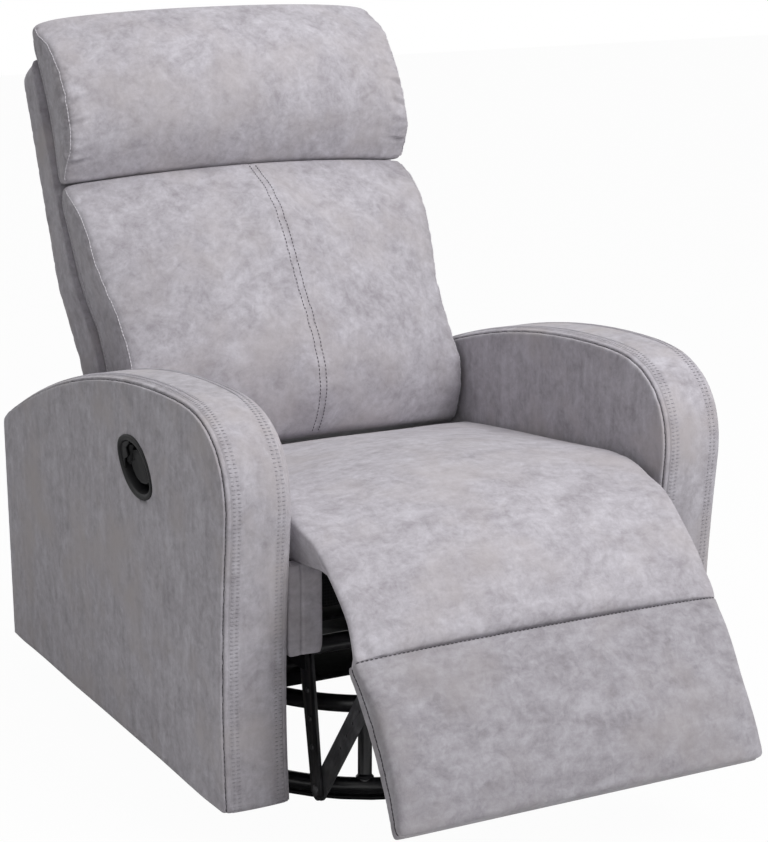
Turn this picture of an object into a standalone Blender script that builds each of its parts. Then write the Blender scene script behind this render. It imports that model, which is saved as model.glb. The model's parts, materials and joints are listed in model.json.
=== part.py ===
"""Swivel rocker recliner with its footrest part way out: metres, +Z up, the sitter faces -Y.

The origin is on the floor, on the swivel axis. The sitter's right hand, with the handle, is at -X.
"""

import math

import bmesh
import bpy
import numpy as np
from mathutils import Matrix, Vector

# Clearances
GAP = 0.0003  # between pieces that touch
RUNNING = 0.0007  # round a shaft or stud that turns in a hole
SIDE_PLAY = 0.0005  # between links that pass each other
OPEN_PIVOT_PLAY = 0.0035  # round the footrest pin, where the linkage is left open

# Arms
OVERALL_WIDTH = 0.770
ARM_WIDTH = 0.0975
ARM_BOTTOM = 0.066
ARM_TOP = 0.598
ARM_TOP_Y = -0.190  # where the top line is highest
ARM_BACK_Y = 0.507
ARM_BACK_TOP = 0.421
ARM_BACK_LEAN = 0.013
ARM_NOSE_Y = -0.340
ARM_NOSE_Z = 0.470
ARM_NOSE_POWER = 2.4
ARM_FRONT_HOLLOW = 0.020
ARM_EDGE = 0.010
ARM_SIDE_PAD = 0.011
ARM_TOP_PAD = 0.030
ARM_FRONT_PAD = 0.022
ARM_BACK_PAD = 0.012
ARM_PANEL = 0.012
ARM_HEM = 0.004

# Base
PROTECTOR_HEIGHT = 0.005
PROTECTOR_WIDTH = 0.016
RING_TUBE = 0.0125
LOWER_RING = 0.262
UPPER_RING = 0.235
UPPER_RING_Z = 0.130
POST_RADIUS = 0.010
POST_COUNT = 4
POST_TURN = -29.0  # degrees from the front, towards the sitter's right
CROSS_BAR = 0.020
CROSS_BAR_Y = 0.060
BEARING_PLATE = 0.170
BEARING_PLATE_THICK = 0.004
RACE_OUTER = 0.065
RACE_INNER = 0.050
RACE_HEIGHT = 0.0057
BOLT_RADIUS = 0.008
BOLT_HEAD = 0.014
BOLT_HEAD_HEIGHT = 0.008

# Turntable and rocker
TURNTABLE_END = 0.024  # past the cradles
TURNTABLE_EDGE = 0.0065  # past the springs
TURNTABLE_THICK = 0.005
ROCK_Z = 0.200
SHAFT_RADIUS = 0.009
CRADLE_X = 0.120
CRADLE_THICK = 0.006
CRADLE_FOOT = 0.045
CRADLE_EYE = 0.018
SPRING_Y = 0.105
SPRING_RADIUS = 0.021
SPRING_WIRE = 0.0025
SPRING_TURNS = 5
SPRING_HEIGHT = 0.0755
SPRING_BAR_WIDTH = 0.040
SPRING_BAR_THICK = 0.005

# Mechanism
PLATE_THICK = 0.003
PLATE_TOP = 0.320
PLATE_BELOW_DRIVE = 0.023
PLATE_FRONT = 0.026  # in front of the drive stud
PLATE_EAR_DROP = 0.022  # below the rocker shaft
PLATE_EAR_HALF = 0.035
PLATE_EAR_ROOT = 0.090
PLATE_EAR_RISE = 0.012
PLATE_RECLINE_EAR = 0.020
PLATE_RECLINE_ROOT = 0.085
DRIVE_Y = -0.250
DRIVE_Z = 0.248
DRIVE_RADIUS = 0.0125
DRIVE_STUD = 0.009
DRIVE_STUD_LENGTH = 0.020
DRIVE_EYE = 0.020
KNEE_Y = -0.2815
KNEE_Z = 0.0525
KNEE_EYE = 0.015
PIN_RADIUS = 0.005
PIN_HEAD = 0.009
PIN_HEAD_HEIGHT = 0.003
END_BEHIND_SEAM = 0.064
END_BELOW_SEAM = 0.067
END_EYE = 0.016
LINK_INSET = 0.009
LINK_THICK = 0.004
RECLINE_Y = 0.300
RECLINE_Z = 0.345
RECLINE_STUD = 0.008
RECLINE_EYE = 0.018
RECLINE_PLATE = 0.005

# Seat box
RAIL_BOTTOM = 0.262
RAIL_TOP = 0.385
RAIL_FRONT_Y = -0.295
RAIL_WIDTH = 0.0454
CROSS_RAIL_THICK = 0.025
CROSS_RAIL_BOTTOM = 0.300
FRONT_RAIL_Y = -0.250
REAR_RAIL_Y = 0.165
CHEEK_WIDTH = 0.0542
CHEEK_THICK = 0.0227
CHEEK_EDGE = 0.010
SEAT_SPRING_COUNT = 2
SEAT_SPRING_PITCH = 0.160
SEAT_SPRING_WIRE = 0.0018
SEAT_SPRING_SWING = 0.028
SEAT_SPRING_WAVES = 8

# Cushions: side clearances to the arms, and heights at the edge and on the centre line at stations that
# lie closer together towards the ends
CUSHION_DRAW_IN = 0.006
CUSHION_EDGE = 0.010
SEAT_SIDE_CLEARANCE = 0.0045
SEAT_FRONT_Y = -0.333
SEAT_TUCK = 0.036  # how far the seat ends in front of the foot of the back
SEAT_EDGE = [0.053, 0.063, 0.067, 0.058, 0.045, 0.033, 0.022, 0.015, 0.013]
SEAT_CENTRE = [0.059, 0.078, 0.094, 0.090, 0.078, 0.062, 0.041, 0.020, 0.013]

# Footrest, with its hinge line, the seam across its front and its slope
FOOT_POLE_Y = -0.4042
FOOT_POLE_Z = 0.4621
SEAM_Y = -0.497
SEAM_Z = 0.317
SEAM_SPACE = 0.003
FOOT_SLOPE = 56.67
FOOT_LENGTH = 0.224
FOOT_SIDE_CLEARANCE = 0.010
FOOT_BOARD_INSET = 0.0175
FOOT_BOARD_END = 0.006
FOOT_BOARD_THICK = 0.012
FOOT_PAD_THICK = 0.020
FOOT_EDGE = [-0.008, -0.005, 0.003, 0.008, 0.009, 0.010, 0.005, -0.003, -0.006]
FOOT_CENTRE = [0.000, 0.006, 0.021, 0.030, 0.032, 0.033, 0.025, 0.010, 0.004]
BRACKET_START = 0.008
BRACKET_FOOT = 0.075
BRACKET_LIP = 0.008
CALF_SIDE_CLEARANCE = 0.0115
CALF_SEAT_SPACE = 0.003
CALF_RISE = 0.0628  # of its upper end above the seat's underside
CALF_START = 0.0018
CALF_END = 0.005
CALF_THICK = 0.034
CALF_TAPER = 0.870
CALF_EDGE = [-0.006, -0.002, 0.009, 0.016, 0.018, 0.016, 0.010, 0.003, 0.000]
CALF_CENTRE = [0.004, 0.010, 0.027, 0.037, 0.038, 0.037, 0.028, 0.013, 0.008]

# Back: its front plane stands at BACK_Y and leans; heights are out of that plane
BACK_Y = 0.231
BACK_ABOVE_RAIL = 0.022
BACK_LEAN = 25.0
BACK_SIDE_CLEARANCE = 0.0085
BACK_WIDENING = 0.016  # above the arms
BACK_WIDENS_FROM = 0.180
BACK_WIDENS_TO = 0.300
CUSHION_BACK = -0.065
CUSHION_SPACE = 0.007
LOWER_START = -0.012
LOWER_LENGTH = 0.442
LOWER_EDGE = [-0.012, 0.013, 0.056, 0.055, 0.039, 0.026, 0.016, -0.017, -0.034]
LOWER_CENTRE = [0.056, 0.081, 0.123, 0.127, 0.111, 0.098, 0.076, 0.038, 0.020]
HEAD_LENGTH = 0.252
HEAD_EDGE = [-0.034, -0.014, 0.025, 0.032, 0.034, 0.022, 0.005, -0.022, -0.034]
HEAD_CENTRE = [0.004, 0.024, 0.066, 0.079, 0.082, 0.074, 0.057, 0.023, 0.006]
SHELL_BOTTOM = 0.005
SHELL_TOP = 0.648
SHELL_REAR_SPACE = 0.0131  # behind the stiles at the top
SHELL_REAR_SLOPE = 0.060
SHELL_WALL = 0.009
SHELL_EDGE = 0.012
STILE_DEPTH = 0.040
STILE_FOOT_SPACE = 0.015
STILE_TOP_SPACE = 0.028
BACK_RAIL_HEIGHT = 0.038
BACK_RAIL_DEPTH = 0.025
WEBBING_THICK = 0.002
WEBBING_INSET = 0.006
WEBBING_END = 0.010
RECLINE_REACH = 0.160

# Handle: its frame lies on the outer face of the arm on the sitter's right
HANDLE_Y = -0.048
HANDLE_Z = 0.471
HANDLE_TILT = 20.0
BEZEL_LIP = 0.007
BEZEL_ROUND = 0.001
CUP_WALL = 0.004
RECESS_LONG = 0.105
RECESS_SHORT = 0.058
BEZEL_HEIGHT = 0.004
RECESS_DEPTH = 0.026
CUP_FLOOR = 0.004
LEVER_RIM = 0.003
LEVER_THICK = 0.006
LEVER_LEVEL = -0.0085
LEVER_HINGE = 0.036
LEVER_LIP = -0.012
LEVER_NOTCH = 0.010
LEVER_PIN = 0.003
LEVER_BARREL = 0.0065

# Fineness of round shapes and cushions
CUSHION_ACROSS = 12
TUBE_SIDES = 10
RING_STEPS = 40
PIN_SIDES = 16
EYE_POINTS = 9
OVAL_POINTS = 28
TURN_POINTS = 8

# Places that several pieces share
ARM_OUTER_X = OVERALL_WIDTH / 2
ARM_INNER_X = ARM_OUTER_X - ARM_WIDTH
RAIL_OUTER_X = ARM_INNER_X - GAP
RAIL_INNER_X = RAIL_OUTER_X - RAIL_WIDTH
PLATE_OUTER_X = RAIL_INNER_X - GAP
PLATE_INNER_X = PLATE_OUTER_X - PLATE_THICK
SPAN_X = PLATE_INNER_X - GAP
LINK_OUTER_X = PLATE_INNER_X - LINK_INSET
LINK_B_OUTER_X = LINK_OUTER_X - LINK_THICK - SIDE_PLAY
BRACKET_OUTER_X = LINK_B_OUTER_X - LINK_THICK - SIDE_PLAY
LOWER_RING_Z = PROTECTOR_HEIGHT + GAP + RING_TUBE
BAR_TOP = UPPER_RING_Z + CROSS_BAR / 2
PLATE_LOW = BAR_TOP + GAP
PLATE_HIGH = PLATE_LOW + BEARING_PLATE_THICK
RACE_LOW = PLATE_HIGH + GAP
RACE_HIGH = RACE_LOW + RACE_HEIGHT
TABLE_LOW = RACE_HIGH + GAP
TABLE_TOP = TABLE_LOW + TURNTABLE_THICK
SPRING_BAR_Z = TABLE_TOP + SPRING_HEIGHT + 2 * GAP
SEAT_BOTTOM = RAIL_TOP + 2 * SEAT_SPRING_WIRE + 2 * GAP
END_Y = SEAM_Y + END_BEHIND_SEAM
END_Z = SEAM_Z - END_BELOW_SEAM
FOOT_HALF = ARM_INNER_X - FOOT_SIDE_CLEARANCE
FOOT_TILT = math.radians(FOOT_SLOPE)
FOOT_BOARD_BACK = -FOOT_PAD_THICK - GAP - FOOT_BOARD_THICK
CALF_UP = SEAT_BOTTOM + CALF_RISE - SEAM_Z
CALF_BACK = SEAT_FRONT_Y - CALF_SEAT_SPACE - SEAM_Y
CALF_TILT = math.atan2(CALF_UP, CALF_BACK)
CALF_LENGTH = math.hypot(CALF_UP, CALF_BACK)
BACK_HALF_LOW = ARM_INNER_X - BACK_SIDE_CLEARANCE
HEAD_START = LOWER_START + LOWER_LENGTH + CUSHION_SPACE
FRAME_FRONT = CUSHION_BACK - 3 * GAP - WEBBING_THICK
STILE_OUTER_X = BACK_HALF_LOW - SHELL_WALL - GAP
STILE_BOTTOM = SHELL_BOTTOM + STILE_FOOT_SPACE
STILE_TOP = SHELL_TOP - STILE_TOP_SPACE
SHELL_REAR_TOP = FRAME_FRONT - STILE_DEPTH - SHELL_REAR_SPACE - SHELL_WALL


def panel(y, z, tilt):
    """A frame across the chair: x to the side, y up the panel, z out of its front."""
    return Matrix.Translation((0, y, z)) @ Matrix.Rotation(tilt, 4, "X")


SIDEWAYS = Matrix(((0, 0, 1, 0), (1, 0, 0, 0), (0, 1, 0, 0), (0, 0, 0, 1)))  # (y, z) drawings, out along X
FOOT_FRAME = panel(SEAM_Y, SEAM_Z, FOOT_TILT)
CALF_FRAME = panel(SEAM_Y, SEAM_Z, CALF_TILT)
BACK_FRAME = panel(BACK_Y, RAIL_TOP + BACK_ABOVE_RAIL, math.radians(90 - BACK_LEAN))
HANDLE_FRAME = (
    Matrix.Translation((-ARM_OUTER_X, HANDLE_Y, HANDLE_Z))
    @ Matrix.Rotation(math.radians(HANDLE_TILT), 4, "X")
    @ Matrix(((0, 0, -1, 0), (0, 1, 0, 0), (1, 0, 0, 0), (0, 0, 0, 1)))
)


def clear_scene():
    for obj in list(bpy.data.objects):
        bpy.data.objects.remove(obj, do_unlink=True)


def finish(name, colour, roughness, metallic=0.0):
    material = bpy.data.materials.new(name)
    material.use_nodes = True
    shader = material.node_tree.nodes["Principled BSDF"]
    shader.inputs["Base Color"].default_value = (*colour, 1)
    shader.inputs["Roughness"].default_value = roughness
    shader.inputs["Metallic"].default_value = metallic
    return material


def joint_axis(name, place, parent=None):
    """An empty on a joint's axis, which the moving pieces hang from."""
    empty = bpy.data.objects.new(name, None)
    empty.empty_display_size = 0.05
    bpy.context.scene.collection.objects.link(empty)
    hang(empty, parent, place)
    return empty


def hang(obj, parent, place):
    obj.parent = parent
    if parent:
        obj.matrix_parent_inverse = parent.matrix_basis.inverted()
    obj.matrix_basis = place


def add(name, bm, material, parent=None, place=Matrix(), smooth=None):
    """Turns a bmesh into a named object; smooth is the angle up to which faces blend."""
    bmesh.ops.recalc_face_normals(bm, faces=bm.faces)
    mesh = bpy.data.meshes.new(name)
    bm.to_mesh(mesh)
    bm.free()
    if smooth:
        mesh.shade_smooth()
        mesh.set_sharp_from_angle(angle=math.radians(smooth))
    mesh.materials.append(material)
    obj = bpy.data.objects.new(name, mesh)
    bpy.context.scene.collection.objects.link(obj)
    hang(obj, parent, place)
    return obj


def helper(name, bm, material, place=Matrix()):
    """An object that only cuts or joins others."""
    obj = add(name, bm, material, None, place)
    obj.hide_render = True
    obj.display_type = "WIRE"
    return obj


def combine(obj, other, operation="DIFFERENCE"):
    modifier = obj.modifiers.new(other.name, "BOOLEAN")
    modifier.operation = operation
    modifier.object = other


def round_edges(obj, width, segments=2, angle=40):
    modifier = obj.modifiers.new("rounding", "BEVEL")
    modifier.width = width
    modifier.segments = segments
    modifier.limit_method = "ANGLE"
    modifier.angle_limit = math.radians(angle)


def circle(x, y, radius, count=PIN_SIDES):
    return [
        (x + radius * math.cos(2 * math.pi * i / count), y + radius * math.sin(2 * math.pi * i / count))
        for i in range(count)
    ]


def oval(half_x, half_y, count=OVAL_POINTS):
    return [
        (half_x * math.cos(2 * math.pi * i / count), half_y * math.sin(2 * math.pi * i / count))
        for i in range(count)
    ]


def hull(points):
    """The convex outline round some points, anticlockwise."""
    ordered = sorted(set(points))
    sides = []
    for run in (ordered, ordered[::-1]):
        side = []
        for p in run:
            while len(side) > 1 and turn(side[-2], side[-1], p) <= 1e-12:
                side.pop()
            side.append(p)
        sides += side[:-1]
    return sides


def turn(a, b, c):
    return (b[0] - a[0]) * (c[1] - a[1]) - (b[1] - a[1]) * (c[0] - a[0])


def strap(*eyes):
    """The outline of a link that runs round each eye (y, z, radius)."""
    return hull([p for y, z, radius in eyes for p in circle(y, z, radius, 2 * EYE_POINTS)])


def slab(outline, low, high, holes=()):
    """A plate drawn in x and y, with round or other holes, from low to high along z."""
    bm = bmesh.new()
    for loop in (outline, *holes):
        verts = [bm.verts.new((x, y, low)) for x, y in loop]
        for a, b in zip(verts, verts[1:] + verts[:1]):
            bm.edges.new((a, b))
    bmesh.ops.triangle_fill(bm, use_beauty=True, use_dissolve=False, edges=bm.edges[:])
    lifted = bmesh.ops.extrude_face_region(bm, geom=bm.faces[:])["geom"]
    top = [v for v in lifted if isinstance(v, bmesh.types.BMVert)]
    bmesh.ops.translate(bm, verts=top, vec=(0, 0, high - low))
    return bm


def side_slab(side, outline, inner, outer, holes=()):
    """A (y, z) plate between two distances from the middle, on one side of the chair."""
    return slab(outline, *sorted((side * inner, side * outer)), holes)


def block(low, high):
    bm = bmesh.new()
    bmesh.ops.create_cube(bm, size=1)
    size = Vector(high) - Vector(low)
    bmesh.ops.scale(bm, vec=size, verts=bm.verts)
    bmesh.ops.translate(bm, vec=Vector(low) + size / 2, verts=bm.verts)
    return bm


def loft(loops):
    """A closed skin over loops of points, with a flat cap at each end."""
    bm = bmesh.new()
    rows = [[bm.verts.new(p) for p in loop] for loop in loops]
    for low, high in zip(rows, rows[1:]):
        for i in range(len(low)):
            j = (i + 1) % len(low)
            bm.faces.new((low[i], low[j], high[j], high[i]))
    bm.faces.new(rows[0][::-1])
    bm.faces.new(rows[-1])
    return bm


def turned(steps, sides=PIN_SIDES):
    """A turned piece along z from its (radius, height) steps."""
    return loft([[(x, y, z) for x, y in circle(0, 0, radius, sides)] for radius, z in steps])


def rod(start, end, radius, sides=PIN_SIDES):
    start, end = Vector(start), Vector(end)
    bm = turned([(radius, 0), (radius, (end - start).length)], sides)
    turn_to = (end - start).to_track_quat("Z", "Y").to_matrix().to_4x4()
    bmesh.ops.transform(bm, matrix=Matrix.Translation(start) @ turn_to, verts=bm.verts)
    return bm


def ring(radius, tube, z):
    bm = bmesh.new()
    section = bmesh.ops.create_circle(bm, segments=TUBE_SIDES, radius=tube)["verts"]
    place = Matrix.Translation((radius, 0, z)) @ Matrix.Rotation(math.pi / 2, 4, "X")
    bmesh.ops.transform(bm, matrix=place, verts=section)
    bmesh.ops.spin(bm, geom=bm.verts[:] + bm.edges[:], cent=(0, 0, 0), axis=(0, 0, 1),
                   angle=2 * math.pi, steps=RING_STEPS, use_merge=True)
    bmesh.ops.remove_doubles(bm, verts=bm.verts, dist=1e-5)
    return bm


def wire(name, points, radius, material, parent, resolution):
    """A closed tube along a line of points."""
    curve = bpy.data.curves.new(name, "CURVE")
    curve.dimensions = "3D"
    spline = curve.splines.new("POLY")
    spline.points.add(len(points) - 1)
    for point, place in zip(spline.points, points):
        point.co = (*place, 1)
    curve.bevel_depth = radius
    curve.bevel_resolution = resolution
    curve.use_fill_caps = True
    curve.materials.append(material)
    obj = bpy.data.objects.new(name, curve)
    bpy.context.scene.collection.objects.link(obj)
    hang(obj, parent, Matrix())
    return obj


def smooth_line(start, end, heights):
    """A smooth height along a cushion, from heights at stations that lie closer towards its ends."""
    count = len(heights) - 1
    xs = start + (end - start) * (1 - np.cos(np.pi * np.arange(count + 1) / count)) / 2
    slopes = np.gradient(heights, xs)

    def height(x):
        i = int(np.clip(np.searchsorted(xs, x) - 1, 0, count - 1))
        width = xs[i + 1] - xs[i]
        t = (x - xs[i]) / width
        first = (1 + 2 * t) * (1 - t) ** 2 * heights[i] + t * (1 - t) ** 2 * width * slopes[i]
        second = t * t * (3 - 2 * t) * heights[i + 1] + t * t * (t - 1) * width * slopes[i + 1]
        return float(first + second)

    return height


def cushion(half_width, ends, edge, centre, bottom, along, crown_power=2.2, taper=1.0):
    """A crowned cushion on a flat bottom: x across, y along between its ends, z out of its front.

    Its height runs from the edge line to the centre line, its sides draw in between the corners, and
    taper shortens the bottom at the far end.
    """
    start, end = ends
    edge_height, centre_height = smooth_line(start, end, edge), smooth_line(start, end, centre)
    bm = bmesh.new()
    bmesh.ops.create_grid(bm, x_segments=CUSHION_ACROSS, y_segments=along, size=1)
    for v in bm.verts:
        a, b = (1.25 * t - 0.25 * t**3 for t in v.co.xy)
        y = start + (end - start) * (b + 1) / 2
        low, high = edge_height(y), centre_height(y)
        x = a * (half_width(y) - CUSHION_DRAW_IN * (1 - b * b))
        v.co = (x, y, low + (high - low) * (1 - abs(a) ** crown_power))
    lifted = bmesh.ops.extrude_face_region(bm, geom=bm.faces[:])["geom"]
    for v in lifted:
        if isinstance(v, bmesh.types.BMVert):
            v.co.y = start + (v.co.y - start) * taper
            v.co.z = bottom
    return bm


def both_sides():
    return ((-1, "right"), (1, "left"))


def build_base(steel, plastic):
    """Floor ring and upper ring on leaning posts, with the fixed half of the swivel bearing."""
    protector = slab(
        circle(0, 0, LOWER_RING + PROTECTOR_WIDTH / 2, RING_STEPS), 0, PROTECTOR_HEIGHT,
        [circle(0, 0, LOWER_RING - PROTECTOR_WIDTH / 2, RING_STEPS)],
    )
    add("floor_protector_ring", protector, plastic)
    add("base_ring_lower", ring(LOWER_RING, RING_TUBE, LOWER_RING_Z), steel, smooth=60)
    add("base_ring_upper", ring(UPPER_RING, RING_TUBE, UPPER_RING_Z), steel, smooth=60)
    lower_seat = helper("lower_ring_seat", ring(LOWER_RING, RING_TUBE + GAP, LOWER_RING_Z), steel)
    upper_seat = helper("upper_ring_seat", ring(UPPER_RING, RING_TUBE + GAP, UPPER_RING_Z), steel)
    for i in range(POST_COUNT):
        angle = math.radians(POST_TURN + 360 * i / POST_COUNT)
        out = Vector((math.sin(angle), -math.cos(angle), 0))
        foot = out * LOWER_RING + Vector((0, 0, LOWER_RING_Z))
        head = out * UPPER_RING + Vector((0, 0, UPPER_RING_Z))
        post = add(f"base_post_{i + 1}", rod(foot, head, POST_RADIUS, TUBE_SIDES), steel, smooth=60)
        combine(post, lower_seat)
        combine(post, upper_seat)
    reach = math.sqrt(UPPER_RING**2 - CROSS_BAR_Y**2)
    for side, name in ((-1, "front"), (1, "rear")):
        y = side * CROSS_BAR_Y
        low = (-reach, y - CROSS_BAR / 2, UPPER_RING_Z - CROSS_BAR / 2)
        bar = add(f"base_cross_bar_{name}", block(low, (reach, y + CROSS_BAR / 2, BAR_TOP)), steel)
        combine(bar, upper_seat)
    half = BEARING_PLATE / 2
    square = [(-half, -half), (half, -half), (half, half), (-half, half)]
    bore = circle(0, 0, BOLT_RADIUS + RUNNING)
    add("bearing_plate", slab(square, PLATE_LOW, PLATE_HIGH, [bore]), steel)
    bore = circle(0, 0, RACE_INNER, RING_STEPS)
    race = slab(circle(0, 0, RACE_OUTER, RING_STEPS), RACE_LOW, RACE_HIGH, [bore])
    add("bearing_race", race, steel, smooth=60)
    under, over = PLATE_LOW - GAP, TABLE_TOP + GAP
    bolt = turned([
        (BOLT_HEAD, under - BOLT_HEAD_HEIGHT), (BOLT_HEAD, under), (BOLT_RADIUS, under),
        (BOLT_RADIUS, over), (BOLT_HEAD, over), (BOLT_HEAD, over + BOLT_HEAD_HEIGHT),
    ])
    add("king_bolt", bolt, steel, smooth=40)


def build_turntable(axis, steel, spring_steel):
    """What swivels on the base: the plate, the rocker cradles with their shaft, and the rocker springs."""
    x = CRADLE_X + CRADLE_THICK + TURNTABLE_END
    y = SPRING_Y + SPRING_RADIUS + SPRING_WIRE + TURNTABLE_EDGE
    bore = circle(0, 0, BOLT_RADIUS + RUNNING)
    plate = slab([(-x, -y), (x, -y), (x, y), (-x, y)], TABLE_LOW, TABLE_TOP, [bore])
    add("turntable_plate", plate, steel, axis)
    foot = TABLE_TOP + GAP
    eye = [(py, pz) for py, pz in circle(0, ROCK_Z, CRADLE_EYE, 2 * EYE_POINTS)]
    outline = hull(eye + [(-CRADLE_FOOT, foot), (CRADLE_FOOT, foot)])
    bore = circle(0, ROCK_Z, SHAFT_RADIUS + GAP)
    for side, name in both_sides():
        cradle = side_slab(side, outline, CRADLE_X, CRADLE_X + CRADLE_THICK, [bore])
        add(f"rocker_cradle_{name}", cradle, steel, axis, SIDEWAYS)
    reach = PLATE_OUTER_X + SHAFT_RADIUS / 2
    shaft = rod((-reach, 0, ROCK_Z), (reach, 0, ROCK_Z), SHAFT_RADIUS)
    add("rocker_shaft", shaft, steel, axis, smooth=60)
    low = foot + SPRING_WIRE
    high = SPRING_BAR_Z - GAP - SPRING_WIRE
    count = SPRING_TURNS * TURN_POINTS
    for side, name in ((-1, "front"), (1, "rear")):
        points = []
        for i in range(count + 1):
            angle = 2 * math.pi * i / TURN_POINTS
            y = side * SPRING_Y + SPRING_RADIUS * math.sin(angle)
            points.append((SPRING_RADIUS * math.cos(angle), y, low + (high - low) * i / count))
        wire(f"rocker_spring_{name}", points, SPRING_WIRE, spring_steel, axis, 1)
    own_gap = (high - low) / SPRING_TURNS - 2 * SPRING_WIRE
    print(f"least gap between a rocker spring's turns: {own_gap * 1000:.2f} mm")


def side_plate_outline():
    """A mechanism side plate: drive stud in front, rocker bore below, recline stud behind."""
    front = DRIVE_Y - PLATE_FRONT
    bottom = DRIVE_Z - PLATE_BELOW_DRIVE
    lowest = ROCK_Z - PLATE_EAR_DROP
    ear = PLATE_RECLINE_EAR
    return [
        (front, bottom), (-PLATE_EAR_ROOT, bottom - PLATE_EAR_RISE), (-PLATE_EAR_HALF, lowest),
        (PLATE_EAR_HALF, lowest), (PLATE_EAR_ROOT, bottom - PLATE_EAR_RISE),
        (RECLINE_Y - PLATE_RECLINE_ROOT, bottom), (RECLINE_Y + ear, RECLINE_Z - ear),
        (RECLINE_Y + ear, RECLINE_Z), (RECLINE_Y + ear / 2, RECLINE_Z + ear),
        (RECLINE_Y - ear / 2, RECLINE_Z + ear),
        (RECLINE_Y - 2 * ear, PLATE_TOP), (front, PLATE_TOP),
    ]


def build_chassis(axis, steel, spring_steel, timber, fabric):
    """The rocking seat box: side plates, rails, seat springs and seat cushion."""
    bore = circle(0, ROCK_Z, SHAFT_RADIUS + RUNNING)
    for side, name in both_sides():
        plate = add(f"mechanism_plate_{name}",
                    side_slab(side, side_plate_outline(), PLATE_INNER_X, PLATE_OUTER_X, [bore]),
                    steel, axis, SIDEWAYS)
        root = PLATE_INNER_X + PLATE_THICK / 2
        studs = (("drive", DRIVE_Y, DRIVE_Z, DRIVE_STUD, DRIVE_STUD_LENGTH),
                 ("recline", RECLINE_Y, RECLINE_Z, RECLINE_STUD, RECLINE_PLATE + 2 * SIDE_PLAY))
        for what, y, z, radius, length in studs:
            stud = rod((side * root, y, z), (side * (PLATE_INNER_X - length), y, z), radius)
            combine(plate, helper(f"{what}_stud_{name}", stud, steel), "UNION")
        rail = block(*corners(side, RAIL_INNER_X, RAIL_OUTER_X, RAIL_FRONT_Y, BACK_Y, RAIL_BOTTOM,
                              RAIL_TOP))
        add(f"seat_rail_{name}", rail, timber, axis)
        y = RAIL_FRONT_Y - GAP
        cheek = block(*corners(side, RAIL_OUTER_X - CHEEK_WIDTH, RAIL_OUTER_X, y - CHEEK_THICK, y,
                               RAIL_BOTTOM, SEAT_BOTTOM - GAP))
        round_edges(add(f"seat_cheek_{name}", cheek, fabric, axis, smooth=60), CHEEK_EDGE)
    for name, y in (("front", FRONT_RAIL_Y), ("rear", REAR_RAIL_Y)):
        rail = block((-SPAN_X, y, CROSS_RAIL_BOTTOM), (SPAN_X, y + CROSS_RAIL_THICK, RAIL_TOP))
        add(f"seat_{name}_rail", rail, timber, axis)
    for name, y in (("front", -SPRING_Y), ("rear", SPRING_Y)):
        bar = block((-SPAN_X, y - SPRING_BAR_WIDTH / 2, SPRING_BAR_Z),
                    (SPAN_X, y + SPRING_BAR_WIDTH / 2, SPRING_BAR_Z + SPRING_BAR_THICK))
        add(f"spring_bar_{name}", bar, steel, axis)
    start = FRONT_RAIL_Y + CROSS_RAIL_THICK / 2
    end = REAR_RAIL_Y + CROSS_RAIL_THICK / 2
    count = SEAT_SPRING_WAVES * 6
    for n in range(SEAT_SPRING_COUNT):
        middle = (n - (SEAT_SPRING_COUNT - 1) / 2) * SEAT_SPRING_PITCH
        points = [
            (middle + SEAT_SPRING_SWING * math.sin(2 * math.pi * SEAT_SPRING_WAVES * i / count),
             start + (end - start) * i / count, RAIL_TOP + GAP + SEAT_SPRING_WIRE)
            for i in range(count + 1)
        ]
        wire(f"seat_spring_{n + 1}", points, SEAT_SPRING_WIRE, spring_steel, axis, 0)
    half = ARM_INNER_X - SEAT_SIDE_CLEARANCE
    seat = cushion(lambda y: half, (SEAT_FRONT_Y, BACK_Y - SEAT_TUCK), SEAT_EDGE, SEAT_CENTRE, 0, 12)
    place = Matrix.Translation((0, 0, SEAT_BOTTOM))
    round_edges(add("seat_cushion", seat, fabric, axis, place, 60), 0.5 * CUSHION_EDGE)


def corners(side, inner, outer, y0, y1, z0, z1):
    """The low and high corners of a box between two distances from the middle."""
    x0, x1 = sorted((side * inner, side * outer))
    return (x0, y0, z0), (x1, y1, z1)


def arm_outline(top=0.0, front=0.0, back=0.0, bottom=ARM_BOTTOM):
    """The side outline (y, z) of an arm, drawn in at its top, front and back."""
    rise = (ARM_BACK_TOP - bottom) / (ARM_BACK_TOP - ARM_BOTTOM)
    points = [(ARM_BACK_Y - ARM_BACK_LEAN * rise - back, bottom)]
    fall = ARM_TOP - ARM_BACK_TOP
    length = ARM_BACK_Y - ARM_TOP_Y
    for i in range(9):
        y = ARM_BACK_Y - back - (length - back) * i / 9
        points.append((y, ARM_TOP - top - fall * ((y - ARM_TOP_Y) / length) ** 2))
    for i in range(8):
        angle = math.pi / 2 * i / 8
        across = math.sin(angle) ** (2 / ARM_NOSE_POWER)
        up = math.cos(angle) ** (2 / ARM_NOSE_POWER)
        points.append((ARM_TOP_Y - (ARM_TOP_Y - ARM_NOSE_Y - front) * across,
                       ARM_NOSE_Z + (ARM_TOP - top - ARM_NOSE_Z) * up))
    for i in range(6):
        t = i / 5
        points.append((ARM_NOSE_Y + front + ARM_FRONT_HOLLOW * math.sin(0.75 * math.pi * t),
                       ARM_NOSE_Z + (ARM_BOTTOM - ARM_NOSE_Z) * t))
    (y0, z0), (y1, z1) = points[-2:]
    points[-1] = (y0 + (y1 - y0) * (bottom - z0) / (z1 - z0), bottom)
    return points


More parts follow.
